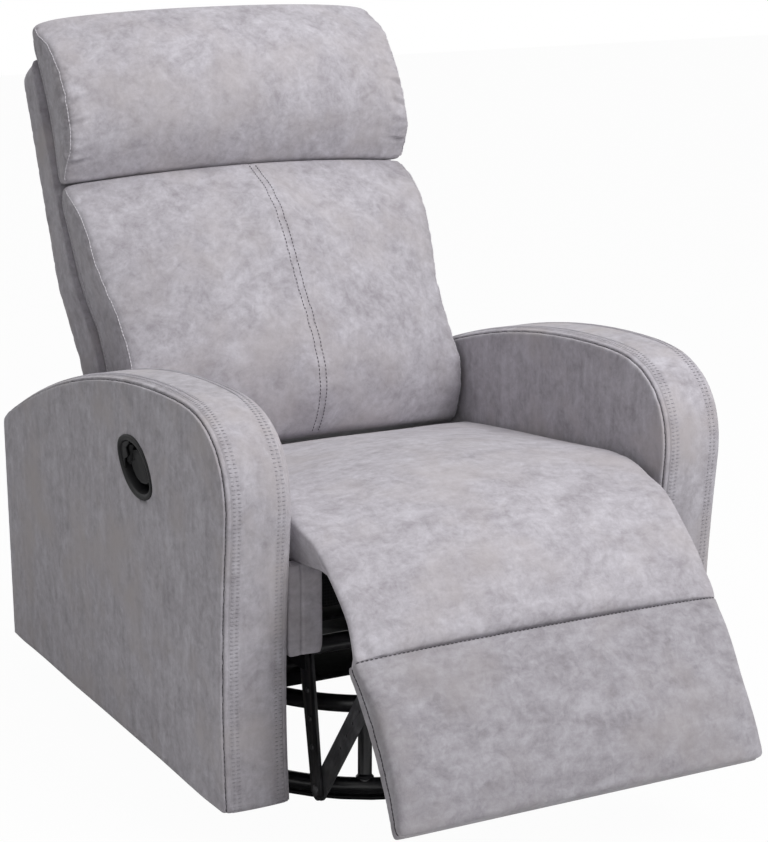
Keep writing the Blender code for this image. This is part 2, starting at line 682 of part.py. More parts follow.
def build_arms(axis, fabric, timber):
    """Each arm: a padded cover, open below, over two plywood panels."""
    inside = arm_outline(ARM_TOP_PAD, ARM_FRONT_PAD, ARM_BACK_PAD, ARM_BOTTOM - ARM_TOP_PAD)
    board = arm_outline(ARM_TOP_PAD + GAP, ARM_FRONT_PAD + GAP, ARM_BACK_PAD + GAP, ARM_BOTTOM + ARM_HEM)
    low_x = ARM_INNER_X + ARM_SIDE_PAD
    high_x = ARM_OUTER_X - ARM_SIDE_PAD
    cup = oval(RECESS_SHORT / 2 + CUP_WALL + GAP, RECESS_LONG / 2 + CUP_WALL + GAP)
    cup_hole = helper("handle_hole", slab(cup, -0.5 * ARM_WIDTH, 0.05), fabric, HANDLE_FRAME)
    for side, name in both_sides():
        body = side_slab(side, arm_outline(), ARM_INNER_X, ARM_OUTER_X)
        cover = add(f"arm_cover_{name}", body, fabric, axis, SIDEWAYS, 60)
        round_edges(cover, ARM_EDGE)
        hollow = side_slab(side, inside, low_x, high_x)
        combine(cover, helper(f"arm_inside_{name}", hollow, fabric, SIDEWAYS))
        inner = side_slab(side, board, low_x + GAP, low_x + GAP + ARM_PANEL)
        add(f"arm_inner_panel_{name}", inner, timber, axis, SIDEWAYS)
        outer = side_slab(side, board, high_x - GAP - ARM_PANEL, high_x - GAP)
        outer_panel = add(f"arm_outer_panel_{name}", outer, timber, axis, SIDEWAYS)
        if side < 0:
            combine(cover, cup_hole)
            combine(outer_panel, cup_hole)


def build_links(link_a_axis, link_b_axis, steel):
    """The scissor links of the footrest and the drive tube that ties both sides."""
    drive, knee, end = (DRIVE_Y, DRIVE_Z), (KNEE_Y, KNEE_Z), (END_Y, END_Z)
    tube = slab(circle(*drive, DRIVE_RADIUS), -SPAN_X, SPAN_X, [circle(*drive, DRIVE_STUD + RUNNING)])
    add("drive_tube", tube, steel, link_a_axis, SIDEWAYS, 60)
    for side, name in both_sides():
        outline = strap((*drive, DRIVE_EYE), (*knee, KNEE_EYE))
        bore = circle(*drive, DRIVE_RADIUS + GAP)
        plate = side_slab(side, outline, LINK_OUTER_X - LINK_THICK, LINK_OUTER_X, [bore])
        link = add(f"front_link_{name}", plate, steel, link_a_axis, SIDEWAYS)
        head = LINK_B_OUTER_X - LINK_THICK - SIDE_PLAY
        root = LINK_OUTER_X - LINK_THICK / 2
        shank = rod((side * root, *knee), (side * (head - PIN_HEAD_HEIGHT / 2), *knee), PIN_RADIUS)
        cap = rod((side * head, *knee), (side * (head - PIN_HEAD_HEIGHT), *knee), PIN_HEAD)
        combine(link, helper(f"knee_pin_{name}", shank, steel), "UNION")
        combine(link, helper(f"knee_pin_head_{name}", cap, steel), "UNION")
        outline = strap((*knee, END_EYE), (*end, END_EYE))
        holes = [circle(*knee, PIN_RADIUS + RUNNING), circle(*end, PIN_RADIUS + OPEN_PIVOT_PLAY)]
        plate = side_slab(side, outline, LINK_B_OUTER_X - LINK_THICK, LINK_B_OUTER_X, holes)
        add(f"footrest_link_{name}", plate, steel, link_b_axis, SIDEWAYS)


def build_footrest(axis, steel, timber, fabric):
    """The board with its pad and brackets, and the calf pad that folds between seat and footrest."""
    half = FOOT_HALF - FOOT_BOARD_INSET
    board = block((-half, FOOT_BOARD_END - FOOT_LENGTH, FOOT_BOARD_BACK),
                  (half, -FOOT_BOARD_END, -FOOT_PAD_THICK - GAP))
    add("footrest_board", board, timber, axis, FOOT_FRAME)
    ends = (-FOOT_LENGTH, -SEAM_SPACE)
    pad = cushion(lambda y: FOOT_HALF, ends, FOOT_EDGE, FOOT_CENTRE, -FOOT_PAD_THICK, 8)
    round_edges(add("footrest_pad", pad, fabric, axis, FOOT_FRAME, 60), 0.6 * CUSHION_EDGE)
    half = ARM_INNER_X - CALF_SIDE_CLEARANCE
    ends = (CALF_START, CALF_LENGTH - CALF_END)
    calf = cushion(lambda y: half, ends, CALF_EDGE, CALF_CENTRE, -CALF_THICK, 8, taper=CALF_TAPER)
    round_edges(add("calf_pad", calf, fabric, axis, CALF_FRAME, 60), 0.8 * CUSHION_EDGE)
    end = FOOT_FRAME.inverted() @ Vector((0, END_Y, END_Z))
    seat = FOOT_BOARD_BACK - GAP
    rear = -BRACKET_START - BRACKET_FOOT
    foot = [(-BRACKET_START, seat), (rear, seat), (rear, seat - BRACKET_LIP)]
    outline = hull(foot + circle(end.y, end.z, END_EYE - 0.002, 2 * EYE_POINTS))
    for side, name in both_sides():
        bracket = add(f"footrest_bracket_{name}",
                      side_slab(side, outline, BRACKET_OUTER_X - LINK_THICK, BRACKET_OUTER_X),
                      steel, axis, FOOT_FRAME @ SIDEWAYS)
        pin = rod((side * (BRACKET_OUTER_X - LINK_THICK / 2), END_Y, END_Z),
                  (side * (LINK_B_OUTER_X + SIDE_PLAY / 2), END_Y, END_Z), PIN_RADIUS)
        combine(bracket, helper(f"footrest_pin_{name}", pin, steel), "UNION")


def back_half(y):
    """Half the width of the back, narrower between the arms."""
    t = np.clip((y - BACK_WIDENS_FROM) / (BACK_WIDENS_TO - BACK_WIDENS_FROM), 0, 1)
    return BACK_HALF_LOW + BACK_WIDENING * float(t * t * (3 - 2 * t))


def shell_loops(inset, bottom, top, front):
    """Rectangles up the outer back cover, drawn in by inset."""
    loops = []
    for y in (bottom, BACK_WIDENS_FROM, (BACK_WIDENS_FROM + BACK_WIDENS_TO) / 2, BACK_WIDENS_TO, top):
        x = back_half(y) - inset
        rear = SHELL_REAR_TOP - SHELL_REAR_SLOPE * (SHELL_TOP - y) + inset
        loops.append([(-x, y, front), (x, y, front), (x, y, rear), (-x, y, rear)])
    return loops


def build_back(axis, steel, timber, webbing, fabric):
    """The reclining back: cover shell, timber frame, webbing and its two cushions."""
    front = CUSHION_BACK - GAP
    skin = loft(shell_loops(0, SHELL_BOTTOM, SHELL_TOP, front))
    shell = add("back_cover", skin, fabric, axis, BACK_FRAME, 60)
    round_edges(shell, SHELL_EDGE)
    inside = shell_loops(SHELL_WALL, SHELL_BOTTOM - SHELL_EDGE, SHELL_TOP - SHELL_WALL, front + SHELL_EDGE)
    combine(shell, helper("back_cover_inside", loft(inside), fabric, BACK_FRAME))
    for side, name in both_sides():
        stile = block(*corners(side, PLATE_INNER_X, STILE_OUTER_X, STILE_BOTTOM, STILE_TOP,
                               FRAME_FRONT - STILE_DEPTH, FRAME_FRONT))
        add(f"back_stile_{name}", stile, timber, axis, BACK_FRAME)
        middle = FRAME_FRONT - STILE_DEPTH / 2
        upper = BACK_FRAME @ Vector((0, RECLINE_REACH, middle))
        outline = strap((RECLINE_Y, RECLINE_Z, RECLINE_EYE), (upper.y, upper.z, STILE_DEPTH / 3))
        outer = PLATE_INNER_X - GAP
        bracket = side_slab(side, outline, outer - RECLINE_PLATE, outer,
                            [circle(RECLINE_Y, RECLINE_Z, RECLINE_STUD + RUNNING)])
        add(f"recline_bracket_{name}", bracket, steel, axis, SIDEWAYS)
    reach = PLATE_INNER_X - 2 * GAP - RECLINE_PLATE
    for name, low in (("bottom", STILE_BOTTOM), ("top", STILE_TOP - BACK_RAIL_HEIGHT)):
        rail = block((-reach, low, FRAME_FRONT - BACK_RAIL_DEPTH),
                     (reach, low + BACK_RAIL_HEIGHT, FRAME_FRONT))
        add(f"back_{name}_rail", rail, timber, axis, BACK_FRAME)
    edge = STILE_OUTER_X - WEBBING_INSET
    sheet = block((-edge, STILE_BOTTOM + WEBBING_END, FRAME_FRONT + GAP),
                  (edge, STILE_TOP - WEBBING_END, FRAME_FRONT + GAP + WEBBING_THICK))
    add("back_webbing", sheet, webbing, axis, BACK_FRAME)
    ends = (LOWER_START, LOWER_START + LOWER_LENGTH)
    lower = cushion(back_half, ends, LOWER_EDGE, LOWER_CENTRE, CUSHION_BACK, 12, crown_power=2.0)
    round_edges(add("lower_back_cushion", lower, fabric, axis, BACK_FRAME, 60), CUSHION_EDGE)
    ends = (HEAD_START, HEAD_START + HEAD_LENGTH)
    head = cushion(back_half, ends, HEAD_EDGE, HEAD_CENTRE, CUSHION_BACK, 10, crown_power=2.6)
    round_edges(add("head_cushion", head, fabric, axis, BACK_FRAME, 60), CUSHION_EDGE)


def build_handle(chassis_axis, lever_axis, plastic, steel):
    """The oval cup in the arm and the lever that hinges in it; x up, y along it to the rear, z outwards."""
    short, long = RECESS_SHORT / 2, RECESS_LONG / 2
    rim = CUP_WALL + BEZEL_LIP
    steps = [
        (CUP_WALL, -RECESS_DEPTH - CUP_FLOOR), (CUP_WALL, GAP), (rim, GAP),
        (rim - BEZEL_ROUND, BEZEL_HEIGHT / 2), (CUP_WALL / 2, BEZEL_HEIGHT),
        (0, BEZEL_HEIGHT / 2), (0, -RECESS_DEPTH),
    ]
    cup = loft([[(x, y, z) for x, y in oval(short + out, long + out)] for out, z in steps])
    add("handle_cup", cup, plastic, chassis_axis, HANDLE_FRAME, 50)
    edge = oval(short - LEVER_RIM, long - LEVER_RIM)
    outline = [(x, max(y, LEVER_LIP)) for x, y in edge if y > LEVER_LIP - LEVER_NOTCH]
    notch = max(range(len(outline)), key=lambda i: outline[i][0])
    outline[notch] = (outline[notch][0] - LEVER_NOTCH, outline[notch][1])
    paddle = slab(hull(outline), LEVER_LEVEL - LEVER_THICK / 2, LEVER_LEVEL + LEVER_THICK / 2)
    lever = add("release_lever", paddle, plastic, lever_axis, HANDLE_FRAME)
    half = short * math.sqrt(1 - ((LEVER_HINGE + LEVER_PIN) / long) ** 2)
    pin = 0.99 * half - GAP
    barrel = pin - LEVER_RIM
    hinge = [((-x, LEVER_HINGE, LEVER_LEVEL), (x, LEVER_HINGE, LEVER_LEVEL)) for x in (barrel, short, pin)]
    hub = helper("lever_barrel", rod(*hinge[0], LEVER_BARREL), plastic, HANDLE_FRAME)
    bore = helper("lever_bore", rod(*hinge[1], LEVER_PIN + RUNNING), plastic, HANDLE_FRAME)
    combine(lever, hub, "UNION")
    combine(lever, bore)
    add("lever_pin", rod(*hinge[2], LEVER_PIN), steel, chassis_axis, HANDLE_FRAME, 60)


def main():
    clear_scene()
    fabric = finish("grey_suede_cloth", (0.47, 0.46, 0.48), 0.85)
    steel = finish("black_steel", (0.015, 0.015, 0.017), 0.4, 0.3)
    spring_steel = finish("spring_steel", (0.45, 0.45, 0.46), 0.35, 1.0)
    timber = finish("plywood", (0.52, 0.36, 0.20), 0.7)
    plastic = finish("black_plastic", (0.018, 0.017, 0.018), 0.45)
    webbing = finish("webbing", (0.10, 0.10, 0.11), 0.9)

    swivel = joint_axis("swivel_axis", Matrix())
    rock = joint_axis("rock_axis", Matrix.Translation((0, 0, ROCK_Z)), swivel)
    footrest = joint_axis("footrest_axis", Matrix.Translation((0, FOOT_POLE_Y, FOOT_POLE_Z)), rock)
    link_a = joint_axis("front_link_axis", Matrix.Translation((0, DRIVE_Y, DRIVE_Z)), rock)
    link_b = joint_axis("footrest_link_axis", Matrix.Translation((0, KNEE_Y, KNEE_Z)), link_a)
    recline = joint_axis("recline_axis", Matrix.Translation((0, RECLINE_Y, RECLINE_Z)), rock)
    lever = joint_axis("lever_axis", HANDLE_FRAME @ Matrix.Translation((0, LEVER_HINGE, LEVER_LEVEL)), rock)

    build_base(steel, plastic)
    build_turntable(swivel, steel, spring_steel)
    build_chassis(rock, steel, spring_steel, timber, fabric)
    build_arms(rock, fabric, timber)
    build_links(link_a, link_b, steel)
    build_footrest(footrest, steel, timber, fabric)
    build_back(recline, steel, timber, webbing, fabric)
    build_handle(rock, lever, plastic, steel)
    hinge = lever.matrix_basis.translation
    print("lever hinge", [round(v, 5) for v in hinge], [round(v, 5) for v in -lever.matrix_basis.col[0].xyz])


main()
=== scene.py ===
"""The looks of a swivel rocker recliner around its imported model: metres, +Z up, the sitter faces -Y."""

import json
import math

import bmesh
import bpy
import numpy as np
from bmesh.types import BMEdge, BMFace, BMVert
from bpy.props import FloatProperty, FloatVectorProperty, IntProperty, PointerProperty
from mathutils import Matrix, Vector, kdtree, noise
from mathutils.bvhtree import BVHTree


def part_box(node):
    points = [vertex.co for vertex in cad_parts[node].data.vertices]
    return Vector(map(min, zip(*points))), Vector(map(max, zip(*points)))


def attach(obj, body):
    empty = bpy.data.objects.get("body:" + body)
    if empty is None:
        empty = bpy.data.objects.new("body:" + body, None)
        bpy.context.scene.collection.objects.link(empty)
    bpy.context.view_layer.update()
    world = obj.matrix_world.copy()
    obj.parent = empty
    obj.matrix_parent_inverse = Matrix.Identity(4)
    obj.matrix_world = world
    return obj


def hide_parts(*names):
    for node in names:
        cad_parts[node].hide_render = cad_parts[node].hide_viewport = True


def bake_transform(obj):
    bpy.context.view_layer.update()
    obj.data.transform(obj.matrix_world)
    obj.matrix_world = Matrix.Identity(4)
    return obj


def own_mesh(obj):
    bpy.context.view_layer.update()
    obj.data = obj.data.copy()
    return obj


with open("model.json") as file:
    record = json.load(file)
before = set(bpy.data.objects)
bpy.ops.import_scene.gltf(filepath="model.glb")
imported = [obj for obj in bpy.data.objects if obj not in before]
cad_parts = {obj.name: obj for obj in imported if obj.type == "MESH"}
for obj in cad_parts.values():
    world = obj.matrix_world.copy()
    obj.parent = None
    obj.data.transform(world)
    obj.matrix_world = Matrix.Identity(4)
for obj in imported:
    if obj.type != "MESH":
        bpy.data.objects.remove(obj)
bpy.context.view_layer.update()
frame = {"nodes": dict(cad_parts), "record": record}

bl_info = {
    "name": "Swivel rocker recliner",
    "version": (1, 0, 0),
    "blender": (4, 5, 0),
    "location": "3D View > Sidebar > Recliner",
    "description": "Upholstery, mechanism and stage of a recliner, built around its packed model",
    "category": "Object",
}

SIDES = ((-1, "right"), (1, "left"))

# The arm's outline as the model has it, as (y, z), and the steps along it
ARM_LOW, ARM_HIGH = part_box("arm_cover_left")
ARM_TOP = (-0.190, 0.598)
ARM_BACK = (0.507, 0.421)
ARM_BACK_FOOT = 0.494
ARM_NOSE = (-0.340, 0.470)
ARM_NOSE_POWER = 2.4
ARM_NOSE_LEAN = 50
ARM_FRONT_HOLLOW = 0.020
ARM_CROWN = 0.0035
ARM_MIDDLE_Y = 0.08
ARM_FRONT_STEPS, ARM_TOP_STEPS = 58, 116
ARM_CORNER_STEPS, ARM_CROWN_STEPS = 15, 18
ARM_LINE_STEPS, ARM_LINE_ROUNDS = 1200, 90
ARM_SEAM_DIP, ARM_SEAM_WIDTH = 0.0026, 0.0016
ARM_GATHER, ARM_GATHER_PITCH, ARM_GATHER_FADE = 0.0007, 0.011, 0.010
ARM_PUFF = 0.0022
ARM_HEM = ((0.004, -0.001), (0.002, 0.006), (0.0, 0.022))
ARM_LADDERS = (0.0040, 0.0112)
LADDER_HALF = 0.0027

# Filling of the cushions: how far a panel is drawn in, over which way from a seam, and the sides' share of it
CLOTH_FRAMES = 20
CLOTH_QUALITY = 3
DRAW_DEPTH, DRAW_REACH, SIDE_DRAW = 0.011, 0.045, 0.4

# Sewing: steps along a seam, the shape of its gathers, and of a tuck with the roll beside it
SEAM_STEP = 0.002
SEAM_FADE = 1.3
GATHER_LENGTH, GATHER_WAVE, GATHER_SHARP = 7, 0.7, 0.17
TUCK_OFF, TUCK_LEAN = 1.8, 0.25
ROLL_HEIGHT, ROLL_OFF, ROLL_WIDTH = 0.7, 2.2, 1.2

# Seat and calf pad under one cover: its stations along the seat, round the bend and down the calf
SEAT_REAR, SEAT_REAR_PROBE, SEAT_FRONT, SEAT_FOOT = 0.195, 0.189, -0.275, 0.3892
SEAT_STATIONS, BEND_STATIONS, CALF_STATIONS = 52, 13, 18
SEAT_NARROWING = 0.006
SEAT_PROBE_HALF = 0.265
CALF_SEAM = (-0.497, 0.317)
CALF_LEAN = 40
CALF_LENGTH, CALF_DEPTH, CALF_END, CALF_END_PROBE = 0.150, 0.030, 0.0012, 0.010
CALF_START, CALF_RAMP = 0.62, 0.2
CALF_TAPER, CALF_TAPER_FADE = 0.12, 0.08
CALF_EDGE_FALL = 0.009

# Tucks beside the seams, as (place along the seam, depth)
LOWER_TUCKS = ((0.435, 0.0045), (0.36, 0.0015))
HEAD_TUCKS = (
    (0.034, 0.0075), (0.064, 0.0030), (0.092, 0.0045), (0.126, 0.0048), (0.150, 0.0025), (0.180, 0.0036),
)

# Base: the posts, and the weld bead at their ends as (out of the post, from its end)
BASE_RINGS = (("base_ring_lower", "floor_ring_tube"), ("base_ring_upper", "upper_ring_tube"))
POST_TURN = -29.0
POST_RADIUS = 0.010
POST_INSIDE = 0.004
POST_BEAD = ((0.0, 0.0105), (0.0026, 0.0122), (0.0030, 0.0142), (0.0014, 0.0160), (0.0, 0.0175))

# Footrest linkage: its pivots as (y, z), and the small holes and rivets along its bars
DRIVE_AXIS, KNEE_PIN, BRACKET_PIN = (-0.25, 0.248), (-0.2815, 0.0525), (-0.433, 0.25)
LINK_END = 0.016
LINK_HOLES = (0.42, 0.54, 0.66, 0.78)
LINK_RIVETS = (0.3, 0.5, 0.7)
KNEE_HOLE, BRACKET_HOLE, SMALL_HOLE = 0.0056, 0.0085, 0.0021
KNEE_RIVET, SMALL_RIVET = 0.0075, 0.0042
RIVET_DOME = ((1, 0), (1, 0.0008), (0.92, 0.0016), (0.7, 0.0024), (0.38, 0.0029), (0, 0.0030))

# Release handle: the turned cup with its shelf, and the paddle, in the handle's own frame
HANDLE_LONG = 0.0635
HANDLE_STRETCH = 0.0236
HANDLE_POINT = 0.20
HANDLE_PROFILE = (
    (0, -0.030), (0.0325, -0.030), (0.0325, 0.0004), (0.0394, 0.0004), (0.0400, 0.0013), (0.0391, 0.0030),
    (0.0366, 0.0039), (0.0330, 0.0036), (0.0302, 0.0021), (0.0290, -0.0005), (0.0285, -0.026), (0, -0.026),
)
HANDLE_INSIDE = (0.0290, 0.0526)
HANDLE_HOLE = (0.0345, 0.0575)
HOLE_SNAP = (0.80, 1.20)
SHELF_ARC = (0.64, 2.50)
SHELF_EDGE = ((-0.0215, 0.0320), (-0.0125, 0.0380), (-0.0010, 0.0285), (0.0080, 0.0380), (0.0205, 0.0305))
PADDLE_EDGE = (
    (-0.0120, 0.0305), (-0.0190, 0.0180), (-0.0220, 0.0040), (-0.0200, -0.0120), (-0.0125, -0.0270),
    (-0.0040, -0.0350), (0.0030, -0.0260), (0.0130, -0.0110), (0.0180, 0.0040), (0.0165, 0.0180),
    (0.0075, 0.0305), (-0.0010, 0.0200),
)
PADDLE_WEB = ((-0.011, 0.024), (0.006, 0.024), (0.006, 0.038), (-0.011, 0.038))
LEVER_BARREL = ((0, 0), (0.0055, 0), (0.0060, 0.0006), (0.0060, 0.0294), (0.0055, 0.03), (0, 0.03))
LEVER_PLACE = (-0.015, 0.036, -0.0085)

# Beginnings of the CAD nodes that get softened edges, dull paint, or a wrap of near-black cloth that paints the
# shade under the seat
ROUNDED = (
    "floor_protector_ring", "base_cross_bar", "bearing_plate", "bearing_race", "king_bolt", "turntable_plate",
    "rocker_cradle", "mechanism_plate", "seat_rail", "seat_front_rail", "seat_rear_rail", "spring_bar",
    "front_link", "footrest_board", "footrest_bracket", "back_stile", "recline_bracket", "back_bottom_rail",
    "back_top_rail",
)
MATTE = (
    "turntable_plate", "bearing_plate", "mechanism_plate", "spring_bar", "rocker_cradle", "base_cross_bar",
)
WRAPPED = ("seat_front_rail", "seat_rear_rail", "seat_rail")

# Meshes: the bend from which an edge is a rim, and the way along which a mesh is sorted
RIM_ANGLE = 1.2
SORT_WAY = Vector((1, 1e3, 1e6))

# Stage
CAMERA_PLACE = (-1.573, -2.984, 1.3425)
CAMERA_DOWN, CAMERA_ROUND = 14.30, -28.06
CAMERA_LENS, CAMERA_SENSOR = 101.98, 36
CAMERA_SHIFT = (0.006, -0.003)
FLOOR_HALF = 9
FLOOR_WHITE = 0.97
SKY_LIGHT = 0.25
LIGHT_TARGET = (0, 0, 0.5)
LIGHTS = (  # name, place, size, power
    ("key", (0.95, -2.6, 3.0), 1.8, 93),
    ("fill", (-2.8, -2.0, 1.6), 2.0, 6),
    ("top", (0.2, 0.2, 3.2), 2.2, 27),
)


def panel(y, z, tilt):
    """A frame across the chair: x to the side, y up the panel, z out of its front."""
    return Matrix.Translation((0, y, z)) @ Matrix.Rotation(math.radians(tilt), 4, "X")


FOOT_FRAME = panel(*CALF_SEAM, 56.67)
BACK_FRAME = panel(0.231, 0.407, 65.0)
HANDLE_FRAME = (
    Matrix.Translation((-ARM_HIGH.x, -0.048, 0.471))
    @ Matrix.Rotation(math.radians(20), 4, "X")
    @ Matrix(((0, 0, -1, 0), (0, 1, 0, 0), (1, 0, 0, 0), (0, 0, 0, 1)))
)


def length_value(name, description, default):
    return FloatProperty(name=name, description=description, default=default, subtype="DISTANCE")


def colour_value(name, description, default):
    return FloatVectorProperty(name=name, description=description, default=default, size=3, subtype="COLOR")


class ReclinerSizes(bpy.types.PropertyGroup):
    """Sizes of the sewing and of the meshes."""

    pressure: FloatProperty(name="Pressure", description="Air pressure that fills the cushions", default=4.0)
    seam_depth: length_value("Seam depth", "How far a sewn seam draws in", 0.0045)
    seam_width: length_value("Seam width", "Half width of a sewn seam", 0.0042)
    stitch_pitch: length_value("Stitch pitch", "From one stitch to the next", 0.0062)
    stitch_length: length_value("Stitch length", "Visible length of one stitch", 0.0044)
    thread: length_value("Thread", "Radius of the sewing thread", 0.0007)
    ladder_pitch: length_value("Ladder pitch", "From one bar of the arms' ladder stitch to the next", 0.0056)
    arm_corner: length_value("Arm corner", "Radius where an arm's side turns into its band", 0.010)
    tube_sides: IntProperty(name="Tube sides", description="Sides of the round steel tubes", default=24)
    ring_steps: IntProperty(name="Ring steps", description="Steps round the base rings", default=112)


class ReclinerFinish(bpy.types.PropertyGroup):
    """Colours of the recliner and its stage."""

    cloth_light: colour_value("Cloth, light", "Lightest cloud of the suede", (0.56, 0.54, 0.585))
    cloth_dark: colour_value("Cloth, dark", "Darkest cloud of the suede", (0.335, 0.313, 0.342))
    cloth_warm: colour_value("Cloth, warm", "Warm tint in the suede", (0.465, 0.428, 0.435))
    thread_light: colour_value("Light thread", "Seams of the back's cushions", (0.74, 0.72, 0.76))
    thread_dark: colour_value("Dark thread", "Seams of the footrest and the arms", (0.085, 0.08, 0.09))
    paint: colour_value("Black paint", "Base and mechanism", (0.012, 0.012, 0.014))
    link_paint: colour_value("Link paint", "Worn dark grey of the footrest links", (0.045, 0.045, 0.048))
    plastic: colour_value("Plastic", "Handle cup, lever and floor ring", (0.010, 0.010, 0.011))
    spring: colour_value("Spring steel", "Seat and rocker springs", (0.45, 0.45, 0.46))
    timber: colour_value("Timber", "Plywood of the hidden frame", (0.52, 0.36, 0.20))
    webbing: colour_value("Webbing", "Elastic webbing inside the back", (0.10, 0.10, 0.11))
    floor: colour_value("Floor", "Pale floor", (0.78, 0.78, 0.78))


# Materials


def dimmed(colour, share):
    return [share * c for c in colour]


class Surface:
    """A material under construction: nodes are added one at a time, fed by numbers or by sockets."""

    NAMES = {"colour": "Base Color", "sheen": "Sheen Weight", "specular": "Specular IOR Level"}

    def __init__(self, name):
        self.material = bpy.data.materials.new(name)
        self.material.use_nodes = True
        self.tree = self.material.node_tree
        self.shader = self.tree.nodes["Principled BSDF"]

    def put(self, socket, value):
        """Links a socket to another one, or sets its value."""
        if isinstance(value, bpy.types.NodeSocket):
            self.tree.links.new(value, socket)
        else:
            socket.default_value = (*value, 1) if socket.type == "RGBA" else value

    def add(self, kind, settings=None, **values):
        node = self.tree.nodes.new(kind)
        for name, value in (settings or {}).items():
            setattr(node, name, value)
        for name, value in values.items():
            self.put(node.inputs[name.replace("_", " ")], value)
        return node

    def place(self, scale=(1, 1, 1)):
        """Object coordinates, stretched."""
        coordinates = self.add("ShaderNodeTexCoord").outputs["Object"]
        return self.add("ShaderNodeMapping", Vector=coordinates, Scale=scale).outputs["Vector"]

    def noise(self, scale, detail=3.0, roughness=0.5, distortion=0.0, at=None):
        return self.add("ShaderNodeTexNoise", Vector=at or self.place(), Scale=scale, Detail=detail,
                        Roughness=roughness, Distortion=distortion).outputs["Fac"]

    def math(self, operation, a, b):
        node = self.add("ShaderNodeMath", {"operation": operation})
        self.put(node.inputs[0], a)
        self.put(node.inputs[1], b)
        return node.outputs["Value"]

    def spread(self, value, low, high, to_low=0.0, to_high=1.0):
        """Stretches a value's range from low and high to new ends."""
        return self.add("ShaderNodeMapRange", Value=value, From_Min=low, From_Max=high, To_Min=to_low,
                        To_Max=to_high).outputs["Result"]

    def mix(self, amount, a, b):
        """A colour between two others."""
        node = self.add("ShaderNodeMix", {"data_type": "RGBA"}, Factor=amount)
        self.put(node.inputs[6], a)
        self.put(node.inputs[7], b)
        return node.outputs[2]

    def bump(self, height, strength, distance, **normal):
        return self.add("ShaderNodeBump", Height=height, Strength=strength, Distance=distance,
                        **normal).outputs["Normal"]

    def finish(self, **values):
        """Sets the shader's sockets, and hands back the material."""
        for name, value in values.items():
            self.put(self.shader.inputs[self.NAMES.get(name, name.replace("_", " ").title())], value)
        return self.material


def suede(name, finish, nap=(1, 1, 1), shade=1.0, warmth=0.55):
    """Mottled suede cloth: clouds, finer blotches, brushed streaks along the nap, and a soft grain."""
    s = Surface(name)
    light, dark, warm = (dimmed(c, shade) for c in (finish.cloth_light, finish.cloth_dark, finish.cloth_warm))
    clouds = s.noise(21, 8, 0.72, 0.7)
    blotches = s.noise(85, 6, 0.70, 0.5)
    streaks = s.noise(34, 6, 0.66, 0.3, s.place(nap))
    tone = s.math("ADD", s.math("MULTIPLY", clouds, 0.40), s.math("MULTIPLY", blotches, 0.33))
    tone = s.math("ADD", tone, s.math("MULTIPLY", streaks, 0.27))
    tone = s.spread(tone, 0.395, 0.605)
    colour = s.mix(tone, dark, light)
    tint = s.spread(s.noise(9, 3, 0.55), 0.48, 0.72, 0, warmth)
    colour = s.mix(tint, colour, warm)
    grain = s.noise(620, 3, 0.6)
    colour = s.mix(s.spread(grain, 0.35, 0.75, 0.0, 0.16), colour, dark)
    pebble = s.noise(150, 3, 0.55)
    normal = s.bump(grain, 0.22, 0.0005)
    normal = s.bump(pebble, 0.16, 0.0016, Normal=normal)
    return s.finish(colour=colour, roughness=s.spread(tone, 0, 1, 0.92, 0.74), normal=normal, sheen=0.22,
                    sheen_roughness=0.45, specular=0.25)


def sewing_thread(name, colour):
    """Twisted yarn."""
    s = Surface(name)
    twist = s.noise(900, 2, 0.5)
    return s.finish(colour=s.mix(twist, dimmed(colour, 0.7), colour), roughness=0.6,
                    normal=s.bump(twist, 0.3, 0.0003), specular=0.3)


def painted_steel(name, colour, wear=0.25, dull=0.0):
    """Satin black paint with fine orange peel, dust and light scuffs."""
    s = Surface(name)
    dust = s.spread(s.noise(38, 5, 0.65), 0.45, 0.8)
    scuffs = s.spread(s.noise(70, 4, 0.7, 0.6, s.place((1, 4, 1))), 0.6, 0.85, 0, wear)
    pale = [2.2 * c + 0.02 for c in colour]
    worn = [3.4 * c + 0.04 for c in colour]
    tint = s.mix(scuffs, s.mix(dust, colour, pale), worn)
    peel = s.noise(420, 2, 0.5)
    return s.finish(colour=tint, roughness=s.spread(dust, 0, 1, 0.30 + dull, 0.5 + dull),
                    normal=s.bump(peel, 0.10, 0.0004), specular=0.5 - dull)


def moulded_plastic(name, colour):
    """Black plastic with a fine spark-eroded grain."""
    s = Surface(name)
    grain = s.noise(520, 2, 0.55)
    shine = s.noise(24, 3, 0.5)
    pale = [1.5 * c + 0.002 for c in colour]
    return s.finish(colour=s.mix(s.spread(shine, 0.4, 0.7, 0, 0.6), colour, pale),
                    roughness=s.spread(shine, 0.3, 0.7, 0.38, 0.52), normal=s.bump(grain, 0.2, 0.0004),
                    specular=0.18)


def bare_steel(name, colour):
    """Drawn spring wire with faint streaks and tarnish."""
    s = Surface(name)
    tarnish = s.noise(55, 4, 0.6)
    streaks = s.noise(300, 2, 0.5, 0, s.place((1, 0.1, 1)))
    tint = s.mix(s.spread(tarnish, 0.4, 0.75, 0, 0.7), colour, dimmed(colour, 0.55))
    return s.finish(colour=tint, roughness=s.spread(tarnish, 0.3, 0.8, 0.28, 0.5), metallic=1.0,
                    normal=s.bump(streaks, 0.12, 0.0003))


